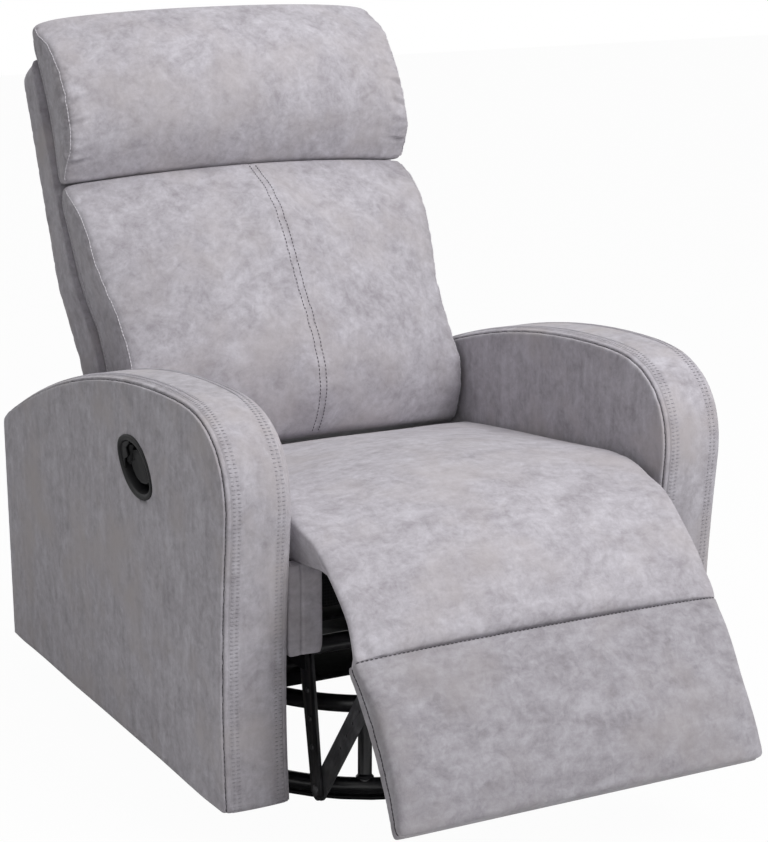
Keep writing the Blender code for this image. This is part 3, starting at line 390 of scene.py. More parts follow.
def plywood(name, colour):
    """Rotary-cut veneer: long wavy grain, pores and a few darker bands."""
    s = Surface(name)
    waves = s.noise(9, 4, 0.6, 1.2, s.place((14, 1.6, 1.6)))
    pores = s.noise(120, 3, 0.6, 0, s.place((9, 1, 1)))
    tint = s.mix(s.spread(waves, 0.35, 0.7), dimmed(colour, 0.72), dimmed(colour, 1.15))
    tint = s.mix(s.spread(pores, 0.58, 0.75, 0, 0.5), tint, dimmed(colour, 0.45))
    return s.finish(colour=tint, roughness=s.spread(waves, 0.3, 0.7, 0.62, 0.8),
                    normal=s.bump(pores, 0.25, 0.0006), specular=0.3)


def woven_webbing(name, colour):
    """Crossed ribs of a coarse weave."""
    s = Surface(name)
    ribs = [
        s.add("ShaderNodeTexWave", {"bands_direction": axis}, Vector=s.place(), Scale=70, Distortion=0.4)
        for axis in ("X", "Z")
    ]
    weave = s.math("MAXIMUM", *(rib.outputs["Fac"] for rib in ribs))
    tint = s.mix(s.spread(weave, 0.2, 0.9), dimmed(colour, 0.5), dimmed(colour, 1.5))
    return s.finish(colour=tint, roughness=0.9, normal=s.bump(weave, 0.5, 0.0008), specular=0.2)


# Meshes


def only(kind, geometry):
    """The faces, edges or vertices in what an operator made."""
    return [g for g in geometry if isinstance(g, kind)]


def in_order(bm):
    """Sorts a mesh by place, because some operators make their pieces in another order each run."""
    bm.verts.sort(key=lambda v: v.co.dot(SORT_WAY))
    bm.edges.sort(key=lambda e: (e.verts[0].co + e.verts[1].co).dot(SORT_WAY))
    bm.faces.sort(key=lambda f: math.fsum(v.co.dot(SORT_WAY) for v in f.verts))
    return bm


def keep(name, bm, material, smooth=True):
    """Turns a bmesh into an object at the origin."""
    mesh = bpy.data.meshes.new(name)
    bm.to_mesh(mesh)
    bm.free()
    if smooth:
        mesh.shade_smooth()
    mesh.materials.append(material)
    obj = bpy.data.objects.new(name, mesh)
    bpy.context.scene.collection.objects.link(obj)
    return obj


def sharpen(obj, angle=38):
    obj.data.set_sharp_from_angle(angle=math.radians(angle))
    return obj


def settle(obj, body, slot, *nodes):
    """Puts a finished piece on its body and in the place of its nodes. The slot argument is not used."""
    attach(obj, body)
    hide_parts(*nodes)
    return obj


def bake(obj):
    """Replaces an object's mesh by what its modifiers make of it."""
    graph = bpy.context.evaluated_depsgraph_get()
    mesh = bpy.data.meshes.new_from_object(obj.evaluated_get(graph), depsgraph=graph)
    obj.modifiers.clear()
    old = obj.data
    obj.data = mesh
    bpy.data.meshes.remove(old)


def points_of(mesh):
    co = np.empty(len(mesh.vertices) * 3)
    mesh.vertices.foreach_get("co", co)
    return co.reshape(-1, 3)


def normals_of(mesh):
    normals = np.empty(len(mesh.vertices) * 3)
    mesh.vertex_normals.foreach_get("vector", normals)
    return normals.reshape(-1, 3)


def put_points(mesh, co):
    mesh.vertices.foreach_set("co", co.ravel())
    mesh.update()


def along_line(points):
    """How far each point of a line is from its start."""
    return np.concatenate([[0], np.cumsum(np.linalg.norm(np.diff(points, axis=0), axis=1))])


def tree_of(points):
    tree = kdtree.KDTree(len(points))
    for i, point in enumerate(points):
        tree.insert(point, i)
    tree.balance()
    return tree


def node_copy(*nodes):
    """A bmesh of some CAD nodes, their loose triangles joined."""
    bm = bmesh.new()
    for node in nodes:
        bm.from_mesh(frame["nodes"][node].data)
    bmesh.ops.remove_doubles(bm, verts=bm.verts, dist=1e-5)
    return bm


def soften(bm, edges, width, segments=2):
    """Rounds some edges off."""
    bmesh.ops.bevel(bm, geom=edges, offset=width, offset_type="OFFSET", segments=segments, profile=0.5,
                    affect="EDGES", clamp_overlap=True, material=-1)


def soften_rims(bm, width, segments=2):
    soften(bm, [e for e in bm.edges if e.calc_face_angle(0) > RIM_ANGLE], width, segments)


class Solid:
    """CAD nodes seen in a panel's frame: how wide and how high they are at a place."""

    def __init__(self, place, node, rear=0.0, grow=0.0, edge=0.0, corner=0.0):
        """rear is how far the outline is drawn in at the rear, grow how far the sides stand out, edge their
        fall and corner the fall of the upper corners."""
        self.rear, self.grow, self.edge, self.corner = rear, grow, edge, corner
        bm = node_copy(node)
        bmesh.ops.transform(bm, matrix=place.inverted(), verts=bm.verts)
        self.place = place
        self.tree = BVHTree.FromBMesh(bm)
        points = np.array([v.co for v in bm.verts])
        self.low, self.high = points.min(0), points.max(0)
        self.base, self.ends = self.low[2], (self.low[1], self.high[1])
        bm.free()

    def half(self, y, z):
        return self.tree.ray_cast(Vector((1, y, z)), Vector((-1, 0, 0)))[0].x

    def top(self, x, y):
        return self.tree.ray_cast(Vector((x, y, 1)), Vector((0, 0, -1)))[0].z

    def point(self, a, b, c, margin=0.004):
        """A place on the box of the solid: a across from -1, b along from 0, c from its rear to its front."""
        drawn = self.rear * (1 - c) ** 2
        sunk = self.corner * abs(a) ** 18 * b**8
        y = self.low[1] + (self.high[1] - self.low[1]) * b
        inside = min(max(y, self.ends[0] + margin), self.ends[1] - margin)
        half = self.half(inside, 0.7 * self.base + 0.3 * self.top(0, inside))
        top = self.top(a * (half - margin), inside)
        height = self.low[2] + (top - self.low[2] - self.edge * abs(a) ** 10) * c
        return self.place @ Vector((a * (half + self.grow - drawn), y + (1 - 2 * b) * drawn - sunk, height))


def lattice(counts):
    """The skin of a box of cells without its rear, each vertex at its own whole numbers."""
    across, along, deep = counts
    bm = bmesh.new()
    bmesh.ops.create_grid(bm, x_segments=across, y_segments=along, size=0.5)
    bmesh.ops.scale(bm, vec=(across, along, 1), verts=bm.verts)
    bmesh.ops.translate(bm, vec=(across / 2, along / 2, 0), verts=bm.verts)
    front = bm.faces[:]
    for _ in range(deep):
        made = bmesh.ops.extrude_face_region(bm, geom=front)["geom"]
        bmesh.ops.delete(bm, geom=front, context="FACES")
        front = only(BMFace, made)
        bmesh.ops.translate(bm, vec=(0, 0, 1), verts=only(BMVert, made))
    return in_order(bm)


class Pillow:
    """A cushion that starts as a lattice on a solid, is drawn in, filled by cloth simulation and made finer."""

    def __init__(self, name, counts, place, material, rounds, sharp=None):
        """rounds is how often it is smoothed, sharp the row along it that isn't."""
        self.counts = counts
        bm = lattice(counts)
        self.cells = np.array([[round(c) for c in v.co] for v in bm.verts])
        for v in bm.verts:
            i, j, k = v.co
            v.co = place(2 * i / counts[0] - 1, j / counts[1], k / counts[2])
        loose = [v for v, cell in zip(bm.verts, self.cells) if not v.is_boundary and cell[1] != sharp]
        for _ in range(rounds):
            bmesh.ops.smooth_vert(
                bm, verts=loose, factor=0.5, use_axis_x=True, use_axis_y=True, use_axis_z=True)
        middle = place(0, 0.5, 1)
        front = min(bm.faces, key=lambda f: (f.calc_center_median() - middle).length)
        bmesh.ops.recalc_face_normals(bm, faces=bm.faces)
        if front.normal.dot(middle - place(0, 0.5, 0)) < 0:
            bmesh.ops.reverse_faces(bm, faces=bm.faces)
        self.obj = keep(name, bm, material)

    def rows(self, across=None, along=None, deep=None):
        """Marks the points on one sheet of the lattice."""
        chosen = np.ones(len(self.cells), bool)
        for axis, value in enumerate((across, along, deep)):
            if value is not None:
                chosen &= self.cells[:, axis] == value
        return chosen

    def line(self, axis, across=None, along=None, deep=None):
        """The points of one row of the lattice, in order."""
        chosen = np.flatnonzero(self.rows(across, along, deep))
        order = chosen[np.argsort(self.cells[chosen, axis])]
        return [Vector(p) for p in points_of(self.obj.data)[order]]

    def side_lines(self, deep, inset=0):
        """The rows up both sides at one depth."""
        return [self.line(1, across=i, deep=deep) for i in (inset, self.counts[0] - inset)]

    def borders(self):
        """The rows round the front panel."""
        across, along, deep = self.counts
        chosen = self.rows(across=0, deep=deep) | self.rows(across=across, deep=deep)
        return chosen | self.rows(along=0, deep=deep) | self.rows(along=along, deep=deep)

    def fill(self, draw, held, pressure, cap):
        """Draws the cushion in by draw at each point, then fills it; held points stay in place."""
        obj = self.obj
        put_points(obj.data, points_of(obj.data) - draw[:, None] * normals_of(obj.data))
        scene = bpy.context.scene
        start = points_of(obj.data)
        group = obj.vertex_groups.new(name="held")
        group.add([int(i) for i in np.flatnonzero(held)], 1.0, "REPLACE")
        cloth = obj.modifiers.new("filling", "CLOTH")
        cloth.settings.quality = CLOTH_QUALITY
        cloth.settings.vertex_group_mass = group.name
        cloth.settings.use_pressure = True
        cloth.settings.uniform_pressure_force = pressure
        cloth.settings.effector_weights.gravity = 0
        cloth.collision_settings.use_collision = False
        for step in range(1, CLOTH_FRAMES + 1):
            scene.frame_set(step)
        bake(obj)
        scene.frame_set(1)
        obj.vertex_groups.clear()
        way = points_of(obj.data) - start
        length = np.linalg.norm(way, axis=1)
        share = np.minimum(1.0, cap / np.maximum(length, 1e-9))
        put_points(obj.data, start + way * share[:, None])

    def plump(self, pressure, seams, fixed=None, rise=0.004):
        """Fills the cushion: its rear and its seams are held, and fixed rows aren't even drawn in."""
        rear = self.rows(deep=0)
        points = points_of(self.obj.data)
        seam_tree = tree_of(points[seams])
        near = np.array([seam_tree.find(p)[2] for p in points]) / DRAW_REACH
        draw = DRAW_DEPTH * (1 - np.exp(-(near**2)))
        still = rear if fixed is None else rear | fixed
        draw[still] = 0
        sides = self.cells[:, 2] < self.counts[2]
        draw[sides] *= SIDE_DRAW
        self.fill(draw, still | seams, pressure, np.where(sides, draw, draw + rise))

    def finer(self, levels=1):
        """Subdivides the cushion and closes its rear."""
        subdivision = self.obj.modifiers.new("finer", "SUBSURF")
        subdivision.levels = subdivision.render_levels = levels
        bake(self.obj)
        bm = bmesh.new()
        bm.from_mesh(self.obj.data)
        for face in bm.faces:
            face.smooth = True
        rim = [e for e in bm.edges if e.is_boundary]
        for face in only(BMFace, bmesh.ops.triangle_fill(bm, edges=rim, use_beauty=True)["geom"]):
            face.smooth = False
        bmesh.ops.recalc_face_normals(bm, faces=bm.faces)
        bm.to_mesh(self.obj.data)
        bm.free()
        return self.obj


class Skin:
    """A finished surface that seams are laid on, as lines of (point, normal)."""

    def __init__(self, obj):
        mesh = obj.data
        self.tree = BVHTree.FromPolygons([v.co for v in mesh.vertices], [p.vertices for p in mesh.polygons])

    def met(self, starts, directions):
        """Where rays from some starts meet the surface."""
        found = [self.tree.ray_cast(Vector(a), Vector(d)) for a, d in zip(starts, directions)]
        return [(hit[0], hit[1]) for hit in found if hit[0]]

    def onto(self, points):
        """The places on the surface that are nearest to some points."""
        found = [self.tree.find_nearest(Vector(p)) for p in points]
        return [(hit[0], hit[1]) for hit in found if hit[0]]

    def rows(self, lines, stitch, *shifts):
        """Rows of stitches along some lines, for stitching()."""
        return [(self.onto(line), shift, stitch) for line in lines for shift in shifts or (0.0,)]


def resample(line, step):
    """Even steps along a line of (point, normal)."""
    points, normals = (np.array(a) for a in zip(*line))
    lengths = along_line(points)
    places = np.arange(0, lengths[-1], step)
    even = [np.array([np.interp(places, lengths, a[:, k]) for k in range(3)]).T for a in (points, normals)]
    return list(zip(*even))


def sew(obj, line, depth, width, pucker, reach, pitch, seed, tucks=(), crease=0.005):
    """Draws a seam into a mesh along a line, with sharp gathers and tucks that fade over reach.

    A tuck is (place along the line, depth)."""
    points = np.array([p for p, _ in resample(Skin(obj).onto(line), SEAM_STEP)])
    tree = tree_of(points)
    co, normals = points_of(obj.data), normals_of(obj.data)
    low, high = points.min(0) - reach, points.max(0) + reach
    for k in np.flatnonzero(((co > low) & (co < high)).all(1)):
        _, i, distance = tree.find(co[k])
        if distance > reach:
            continue
        along = i * SEAM_STEP
        fade = (1 - distance / reach) ** SEAM_FADE
        move = -depth * math.exp(-((distance / width) ** 2))
        wave = noise.noise((along / pitch, seed, distance / (GATHER_LENGTH * pitch)))
        move += pucker * fade * (GATHER_WAVE * wave - max(0.0, 1 - abs(wave) / GATHER_SHARP))
        beside = fade * (1 - math.exp(-((distance / (TUCK_OFF * width)) ** 2)))
        for spot, fold in tucks:
            off = along - spot - TUCK_LEAN * distance
            roll = (off - ROLL_OFF * crease) / (ROLL_WIDTH * crease)
            move -= fold * beside * math.exp(-((off / crease) ** 2))
            move += ROLL_HEIGHT * fold * beside * math.exp(-(roll**2))
        co[k] += move * normals[k]
    put_points(obj.data, co)


def sewn_row(skin, line, shift, stitch, pitch, material, lift=0.0007):
    """A row of stitches along a line of (point, normal), shifted sideways on the surface.

    A stitch is its half sizes along the row, across it and out of the cloth."""
    line = resample(line, 0.5 * pitch)
    points, out = (np.array(a) for a in zip(*line))
    across = np.cross(out, np.gradient(points, axis=0))
    across /= np.maximum(np.linalg.norm(across, axis=1), 1e-9)[:, None]
    laid = skin.onto(points + shift * across)
    points = np.array([Vector(p) + lift * Vector(n) for p, n in laid])
    length = np.linalg.norm(np.diff(points, axis=0), axis=1).sum()
    path = bpy.data.curves.new("row", "CURVE")
    path.dimensions = "3D"
    spline = path.splines.new("POLY")
    spline.points.add(len(points) - 1)
    spline.points.foreach_set("co", np.c_[points, np.ones(len(points))].ravel())
    guide = bpy.data.objects.new("row", path)
    bpy.context.scene.collection.objects.link(guide)
    bm = bmesh.new()
    place = Matrix.Translation((pitch / 2, 0, 0)) @ Matrix.Diagonal((*stitch, 1))
    bmesh.ops.create_uvsphere(bm, u_segments=6, v_segments=4, radius=1, matrix=place)
    row = keep("row", in_order(bm), material)
    repeat = row.modifiers.new("repeat", "ARRAY")
    repeat.use_relative_offset = False
    repeat.use_constant_offset = True
    repeat.constant_offset_displace = (pitch, 0, 0)
    repeat.count = max(1, int(length / pitch))
    follow = row.modifiers.new("follow", "CURVE")
    follow.object = guide
    bake(row)
    bpy.data.objects.remove(guide)
    bpy.data.curves.remove(path)
    return row


def run_stitch(sizes):
    """Single stitches with gaps between them."""
    return (sizes.stitch_length / 2, sizes.thread, sizes.thread), sizes.stitch_pitch


def seam_thread(sizes, thick=1.0):
    """Stitches that touch, so that a seam shows as one thin line."""
    return (0.6 * sizes.stitch_pitch, thick * sizes.thread, thick * sizes.thread), sizes.stitch_pitch


def ladder_stitch(sizes):
    """Short bars across the row."""
    return (0.8 * sizes.thread, LADDER_HALF, 0.8 * sizes.thread), sizes.ladder_pitch


def stitching(name, skin, rows, material, body):
    """One piece of thread for several rows of (line, shift, stitch and pitch)."""
    bm = bmesh.new()
    for line, shift, stitch in rows:
        row = sewn_row(skin, line, shift, *stitch, material)
        mesh = row.data
        bm.from_mesh(mesh)
        bpy.data.objects.remove(row)
        bpy.data.meshes.remove(mesh)
    return settle(keep(name, bm, material), body, "upholstery")


# Arms


def even_line(points, count):
    """A line of (y, z) in a number of even steps."""
    lengths = along_line(points)
    places = np.linspace(0, lengths[-1], count + 1)
    return np.c_[np.interp(places, lengths, points[:, 0]), np.interp(places, lengths, points[:, 1])]


def arm_curve():
    """The arm's outline from its front foot over the top to its back foot, as points and outward normals."""
    foot, (top_y, top) = ARM_LOW.z, ARM_TOP
    t = np.linspace(1, 0, 120)
    hollow = ARM_FRONT_HOLLOW * np.sin(0.75 * np.pi * t)
    front = np.c_[ARM_NOSE[0] + hollow, ARM_NOSE[1] - (ARM_NOSE[1] - foot) * t]
    angle = np.linspace(np.pi / 2, 0, 160)[1:]
    nose = np.c_[
        top_y - (top_y - ARM_NOSE[0]) * np.sin(angle) ** (2 / ARM_NOSE_POWER),
        ARM_NOSE[1] + (top - ARM_NOSE[1]) * np.cos(angle) ** (2 / ARM_NOSE_POWER),
    ]
    y = np.linspace(top_y, ARM_BACK[0], 240)[1:]
    crest = np.c_[y, top - (top - ARM_BACK[1]) * ((y - top_y) / (ARM_BACK[0] - top_y)) ** 2]
    t = np.linspace(0, 1, 120)[1:]
    back = np.c_[ARM_BACK[0] + (ARM_BACK_FOOT - ARM_BACK[0]) * t, ARM_BACK[1] + (foot - ARM_BACK[1]) * t]
    line = even_line(np.concatenate([front, nose, crest, back]), ARM_LINE_STEPS)
    for _ in range(ARM_LINE_ROUNDS):
        line[1:-1] = (line[:-2] + 2 * line[1:-1] + line[2:]) / 4
    line = even_line(line, ARM_LINE_STEPS)
    step = np.gradient(line, axis=0)
    lean = np.arctan2(step[:, 1], step[:, 0])
    nose_at = int(np.argmin(np.abs(lean[: len(lean) // 2] - math.radians(ARM_NOSE_LEAN))))
    back_at = int(np.argmin(np.linalg.norm(line - np.array(ARM_BACK), axis=1)))
    line = np.concatenate([
        even_line(line[: nose_at + 1], ARM_FRONT_STEPS),
        even_line(line[nose_at : back_at + 1], ARM_TOP_STEPS)[1:],
        even_line(line[back_at:], ARM_FRONT_STEPS)[1:],
    ])
    step = np.gradient(line, axis=0)
    normals = np.c_[-step[:, 1], step[:, 0]]
    return line, normals / np.linalg.norm(normals, axis=1)[:, None]


def arm_section(r):
    """Steps across an arm from its outer side over the band to its inner side: (x, inset, from the seam)."""
    width = ARM_HIGH.x - ARM_LOW.x
    corner, crown = [], []
    for i in range(ARM_CORNER_STEPS):
        angle = math.pi / 2 * i / (ARM_CORNER_STEPS - 1)
        from_seam = (angle - math.pi / 4) * r
        reach = r - ARM_SEAM_DIP * math.exp(-((from_seam / ARM_SEAM_WIDTH) ** 2))
        corner.append((r - reach * math.cos(angle), r - reach * math.sin(angle), from_seam))
    for i in range(1, ARM_CROWN_STEPS):
        x = r + (width - 2 * r) * (0.5 - 0.5 * math.cos(math.pi * (i / ARM_CROWN_STEPS))) ** 0.9
        crown.append((x, -ARM_CROWN * (1 - (2 * x / width - 1) ** 2), min(x, width - x)))
    return corner + crown + [(width - x, inset, s) for x, inset, s in reversed(corner)]


class Arm:
    """One padded arm: a band over its top and front, sewn to a panel on each side."""

    def __init__(self, side, sizes):
        self.side, self.corner = side, sizes.arm_corner
        self.line, self.normals = arm_curve()
        self.lengths = along_line(self.line)
        self.section = arm_section(self.corner)

    def band_point(self, i, k):
        """A place on the band: i along the outline, k across."""
        x, inset, from_seam = self.section[k]
        wave = noise.noise((self.lengths[i] / ARM_GATHER_PITCH, self.side * 3 + x * 9, 0))
        gather = ARM_GATHER * wave * math.exp(-abs(from_seam) / ARM_GATHER_FADE)
        y, z = self.line[i] - self.normals[i] * (inset + gather)
        return Vector((self.side * (ARM_HIGH.x - x), y, z))

    def add_band(self, bm):
        steps, strips = len(self.line) - 1, len(self.section) - 1
        bmesh.ops.create_grid(bm, x_segments=steps, y_segments=strips, size=1)
        for v in bm.verts:
            v.co = self.band_point(round((v.co.x + 1) / 2 * steps), round((v.co.y + 1) / 2 * strips))

    def add_panel(self, bm, x, away):
        """Spans a side panel between the band's seam and the line of its feet."""
        rim = self.line - self.normals * self.corner
        first, last = rim[0], rim[-1]
        front, rear = rim[ARM_FRONT_STEPS], rim[ARM_FRONT_STEPS + ARM_TOP_STEPS]
        made = bmesh.ops.create_grid(bm, x_segments=ARM_TOP_STEPS, y_segments=ARM_FRONT_STEPS, size=1)["verts"]
        for v in made:
            a, b = (v.co.x + 1) / 2, (v.co.y + 1) / 2
            i, j = round(a * ARM_TOP_STEPS), round(b * ARM_FRONT_STEPS)
            low, high = first + (last - first) * a, rim[ARM_FRONT_STEPS + i]
            left, right = rim[j], rim[len(rim) - 1 - j]
            corners = ((1 - a) * (1 - b) * first + a * (1 - b) * last + (1 - a) * b * front + a * b * rear)
            y, z = (1 - b) * low + b * high + (1 - a) * left + a * right - corners
            inside = min(1.0, 16 * a * (1 - a)) * min(1.0, 4 * (1 - b))
            puff = ARM_PUFF * inside * (0.6 + noise.noise((5 * y, 5 * z, 3 * self.side + away)))
            v.co = (self.side * (x + away * puff), y, z)

    def turn_hem(self, bm):
        """Turns the lower edge in and up."""
        middle = Vector((self.side * (ARM_HIGH.x + ARM_LOW.x) / 2, ARM_MIDDLE_Y, 0))
        hem = [e for e in bm.edges if e.is_boundary and all(v.co.z < ARM_LOW.z + 0.002 for v in e.verts)]
        for inward, up in ARM_HEM:
            made = bmesh.ops.extrude_edge_only(bm, edges=hem)["geom"]
            hem = only(BMEdge, made)
            for v in only(BMVert, made):
                v.co.x += inward * (1 if middle.x > v.co.x else -1)
                v.co.y += inward * (1 if middle.y > v.co.y else -1)
                v.co.z += up

    def cover(self):
        bm = bmesh.new()
        self.add_band(bm)
        self.add_panel(bm, ARM_HIGH.x, 1)
        self.add_panel(bm, ARM_LOW.x, -1)
        bmesh.ops.remove_doubles(bm, verts=bm.verts, dist=2e-5)
        if self.side < 0:
            cut_handle_hole(bm)
        bmesh.ops.recalc_face_normals(bm, faces=bm.faces)
        top = max(bm.faces, key=lambda f: f.calc_center_median().z)
        if top.normal.z < 0:
            bmesh.ops.reverse_faces(bm, faces=bm.faces)
        self.turn_hem(bm)
        return in_order(bm)

    def ladder_lines(self, skin):
        """Lines beside both seams, laid on the band from above."""
        lines = []
        for x in ARM_LADDERS:
            for across in (self.corner + x, ARM_HIGH.x - ARM_LOW.x - (self.corner + x)):
                spots = [Vector((self.side * (ARM_HIGH.x - across), *p)) for p in self.line]
                starts = [p + Vector((0, *n)) * 0.03 for p, n in zip(spots, self.normals)]
                lines.append(skin.met(starts, [Vector((0, *-n)) for n in self.normals]))
        return lines

    def seam_lines(self):
        k = ARM_CORNER_STEPS // 2
        return [[self.band_point(i, k) for i in range(len(self.line))] for k in (k, len(self.section) - 1 - k)]


def build_arm(side, name, sizes, cloth, thread, dark):
    arm = Arm(side, sizes)
    cover = keep(f"arm_upholstery_{name}", arm.cover(), cloth)
    settle(cover, "chassis", "upholstery", f"arm_cover_{name}")
    skin = Skin(cover)
    rows = [(line, 0.0, ladder_stitch(sizes)) for line in arm.ladder_lines(skin)]
    stitching(f"arm_stitching_{name}", skin, rows, thread, "chassis")
    stitching(f"arm_seam_{name}", skin, skin.rows(arm.seam_lines(), seam_thread(sizes)), dark, "chassis")


def cut_handle_hole(bm):
    """Opens the side panel under the handle's bezel."""
    back = HANDLE_FRAME.inverted()
    seen = {}
    for v in bm.verts:
        p = back @ v.co
        if abs(p.z) < 0.01:
            slim = leaf(Vector((1, min(abs(p.y), HANDLE_LONG), 0))).x
            seen[v] = (p, math.hypot(p.x / (slim * HANDLE_HOLE[0]), p.y / HANDLE_HOLE[1]))
    for v, (p, out) in seen.items():
        if HOLE_SNAP[0] < out < HOLE_SNAP[1]:
            v.co = HANDLE_FRAME @ Vector((p.x / out, p.y / out, p.z))
            seen[v] = (p, 1.0)
    inside = []
    for face in bm.faces:
        out = [seen[v][1] if v in seen else math.inf for v in face.verts]
        if max(out) <= 1.0 and min(out) < 1:
            inside.append(face)
    bmesh.ops.delete(bm, geom=inside, context="FACES")


# Cushions


def seat_stations():
    """Rows along seat and calf: the foot of each, where its height is probed, and which way is out."""
    turn = math.radians(CALF_LEAN)
    out = Vector((0, -math.sin(turn), math.cos(turn)))
    along = Vector((0, math.cos(turn), math.sin(turn)))
    seam = Vector((0, *CALF_SEAM))
    stations = []
    for y in np.linspace(SEAT_REAR, SEAT_FRONT, SEAT_STATIONS):
        probe = Vector((0, min(y, SEAT_REAR_PROBE), SEAT_FOOT))
        stations.append((Vector((0, y, SEAT_FOOT)), probe, Vector((0, 0, 1))))
    bend = Vector((0, SEAT_FRONT, SEAT_FOOT)), seam + along * CALF_LENGTH - out * CALF_DEPTH
    for t in np.linspace(0, 1, BEND_STATIONS)[1:-1]:
        foot = bend[0].lerp(bend[1], t)
        stations.append((foot, foot, Vector((0, -math.sin(turn * t), math.cos(turn * t)))))
    for s in np.linspace(CALF_LENGTH, CALF_END, CALF_STATIONS):
        probe = seam + along * max(s, CALF_END_PROBE) - out * CALF_DEPTH
        stations.append((seam + along * s - out * CALF_DEPTH, probe, out))
    return stations


def build_seat(sizes, cloth):
    """Seat and calf pad under one cover, which bends at the footrest's hinge."""
    bm = node_copy("seat_cushion", "calf_pad")
    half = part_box("seat_cushion")[1].x
    join = Matrix.Translation((0, -0.334, 0.420)) @ Matrix.Diagonal((1.94 * half, 0.05, 0.05, 1))
    bmesh.ops.create_cube(bm, size=1, matrix=join)
    tree = BVHTree.FromBMesh(bm)
    bm.free()
    stations = seat_stations()
    last = len(stations) - 1

    def place(a, b, c):
        foot, probe, up = stations[round(b * last)]
        calf = min(1.0, max(0.0, (b - CALF_START) / CALF_RAMP))
        taper = CALF_TAPER * calf * min(1.0, (1 - b) / CALF_TAPER_FADE)
        side = half - SEAT_NARROWING * b
        across = max(-SEAT_PROBE_HALF, min(SEAT_PROBE_HALF, a * side))
        far = probe + up * 0.6 + Vector((across, 0, 0))
        height = (tree.ray_cast(far, -up)[0] - probe).dot(up)
        fall = CALF_EDGE_FALL * calf * abs(a) ** 10
        return foot + Vector((a * side * (1 - taper * (1 - c)), 0, 0)) + up * (height - fall) * c

    pillow = Pillow("seat_and_calf_cover", (66, last, 7), place, cloth, 7, last)
    pillow.plump(sizes.pressure, pillow.borders(), pillow.rows(along=last) | pillow.rows(along=0), 0.006)
    front = pillow.line(0, along=last, deep=pillow.counts[2])
    obj = pillow.finer()
    tucks = ((0.012, 0.004), (0.030, 0.003), (2 * half - 0.03, 0.003))
    sew(obj, front, depth=0.002, width=0.006, pucker=0.0008, reach=0.06, pitch=0.03, seed=21.0, tucks=tucks)
    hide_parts("seat_cushion", "calf_pad")
    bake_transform(obj)


def build_footrest(sizes, cloth, thread):
    solid = Solid(FOOT_FRAME, "footrest_pad", edge=0.008)
    solid.low[2] = -0.0345
    solid.high[1] = -0.0005
    pillow = Pillow("footrest_cover", (70, 30, 6), solid.point, cloth, 3, 30)
    _, along, deep = pillow.counts
    pillow.plump(sizes.pressure, pillow.borders(), pillow.rows(along=along))
    seam = pillow.line(0, along=along, deep=deep)
    edges = pillow.side_lines(2)
    obj = pillow.finer()
    for i, edge in enumerate(edges):
        sew(obj, edge, 0.4 * sizes.seam_depth, sizes.seam_width, pucker=0.0006, reach=0.03, pitch=0.02,
            seed=25.0 + i)
    settle(obj, "footrest", "upholstery", "footrest_pad")
    skin = Skin(obj)
    rows = skin.rows([seam], run_stitch(sizes)) + skin.rows(edges, seam_thread(sizes))
    stitching("footrest_stitching", skin, rows, thread, "footrest")


def build_lower_back(sizes, cloth, thread, dark):
    solid = Solid(BACK_FRAME, "lower_back_cushion", rear=0.008, grow=0.003)
    solid.high[1] += 0.003
    pillow = Pillow("lower_back_cover", (72, 52, 10), solid.point, cloth, 2)
    across, _, deep = pillow.counts
    pillow.plump(sizes.pressure, pillow.borders() | pillow.rows(across=across // 2, deep=deep))
    middle = pillow.line(1, across=across // 2, deep=deep)
    edges, behind = pillow.side_lines(deep), pillow.side_lines(1)
    obj = pillow.finer()
    for i, line in enumerate([middle, *edges]):
        pucker, tucks = (0.0013, LOWER_TUCKS) if i else (0.0006, ())
        sew(obj, line, 0.35 * sizes.seam_depth, sizes.seam_width, pucker, reach=0.05, pitch=0.024,
            seed=3.0 + i, tucks=tucks)
    settle(obj, "back", "upholstery", "lower_back_cushion")
    skin = Skin(obj)
    rows = skin.rows(edges, seam_thread(sizes, 1.25)) + skin.rows(behind, seam_thread(sizes))
    stitching("lower_back_seams", skin, rows, thread, "back")
    rows = skin.rows([middle], run_stitch(sizes), -0.0055, 0.0055)
    stitching("lower_back_stitching", skin, rows, dark, "back")


def build_head(sizes, cloth, thread):
    solid = Solid(BACK_FRAME, "head_cushion", rear=0.010, grow=0.003, corner=0.007)
    solid.low[1] -= 0.003
    solid.high[1] += 0.009
    pillow = Pillow("head_cover", (72, 32, 8), solid.point, cloth, 2)
    pillow.plump(sizes.pressure, pillow.borders(), rise=0.005)
    edges, behind = pillow.side_lines(pillow.counts[2]), pillow.side_lines(1)
    obj = pillow.finer(2)
    for i, line in enumerate(edges):
        sew(obj, line, 0.3 * sizes.seam_depth, sizes.seam_width, pucker=0.0014, reach=0.045, pitch=0.018,
            seed=11.0 + i, tucks=HEAD_TUCKS, crease=0.0036)
    settle(obj, "back", "upholstery", "head_cushion")
    skin = Skin(obj)
    rows = skin.rows(edges, seam_thread(sizes, 1.25)) + skin.rows(behind, seam_thread(sizes))
    stitching("head_stitching", skin, rows, thread, "back")


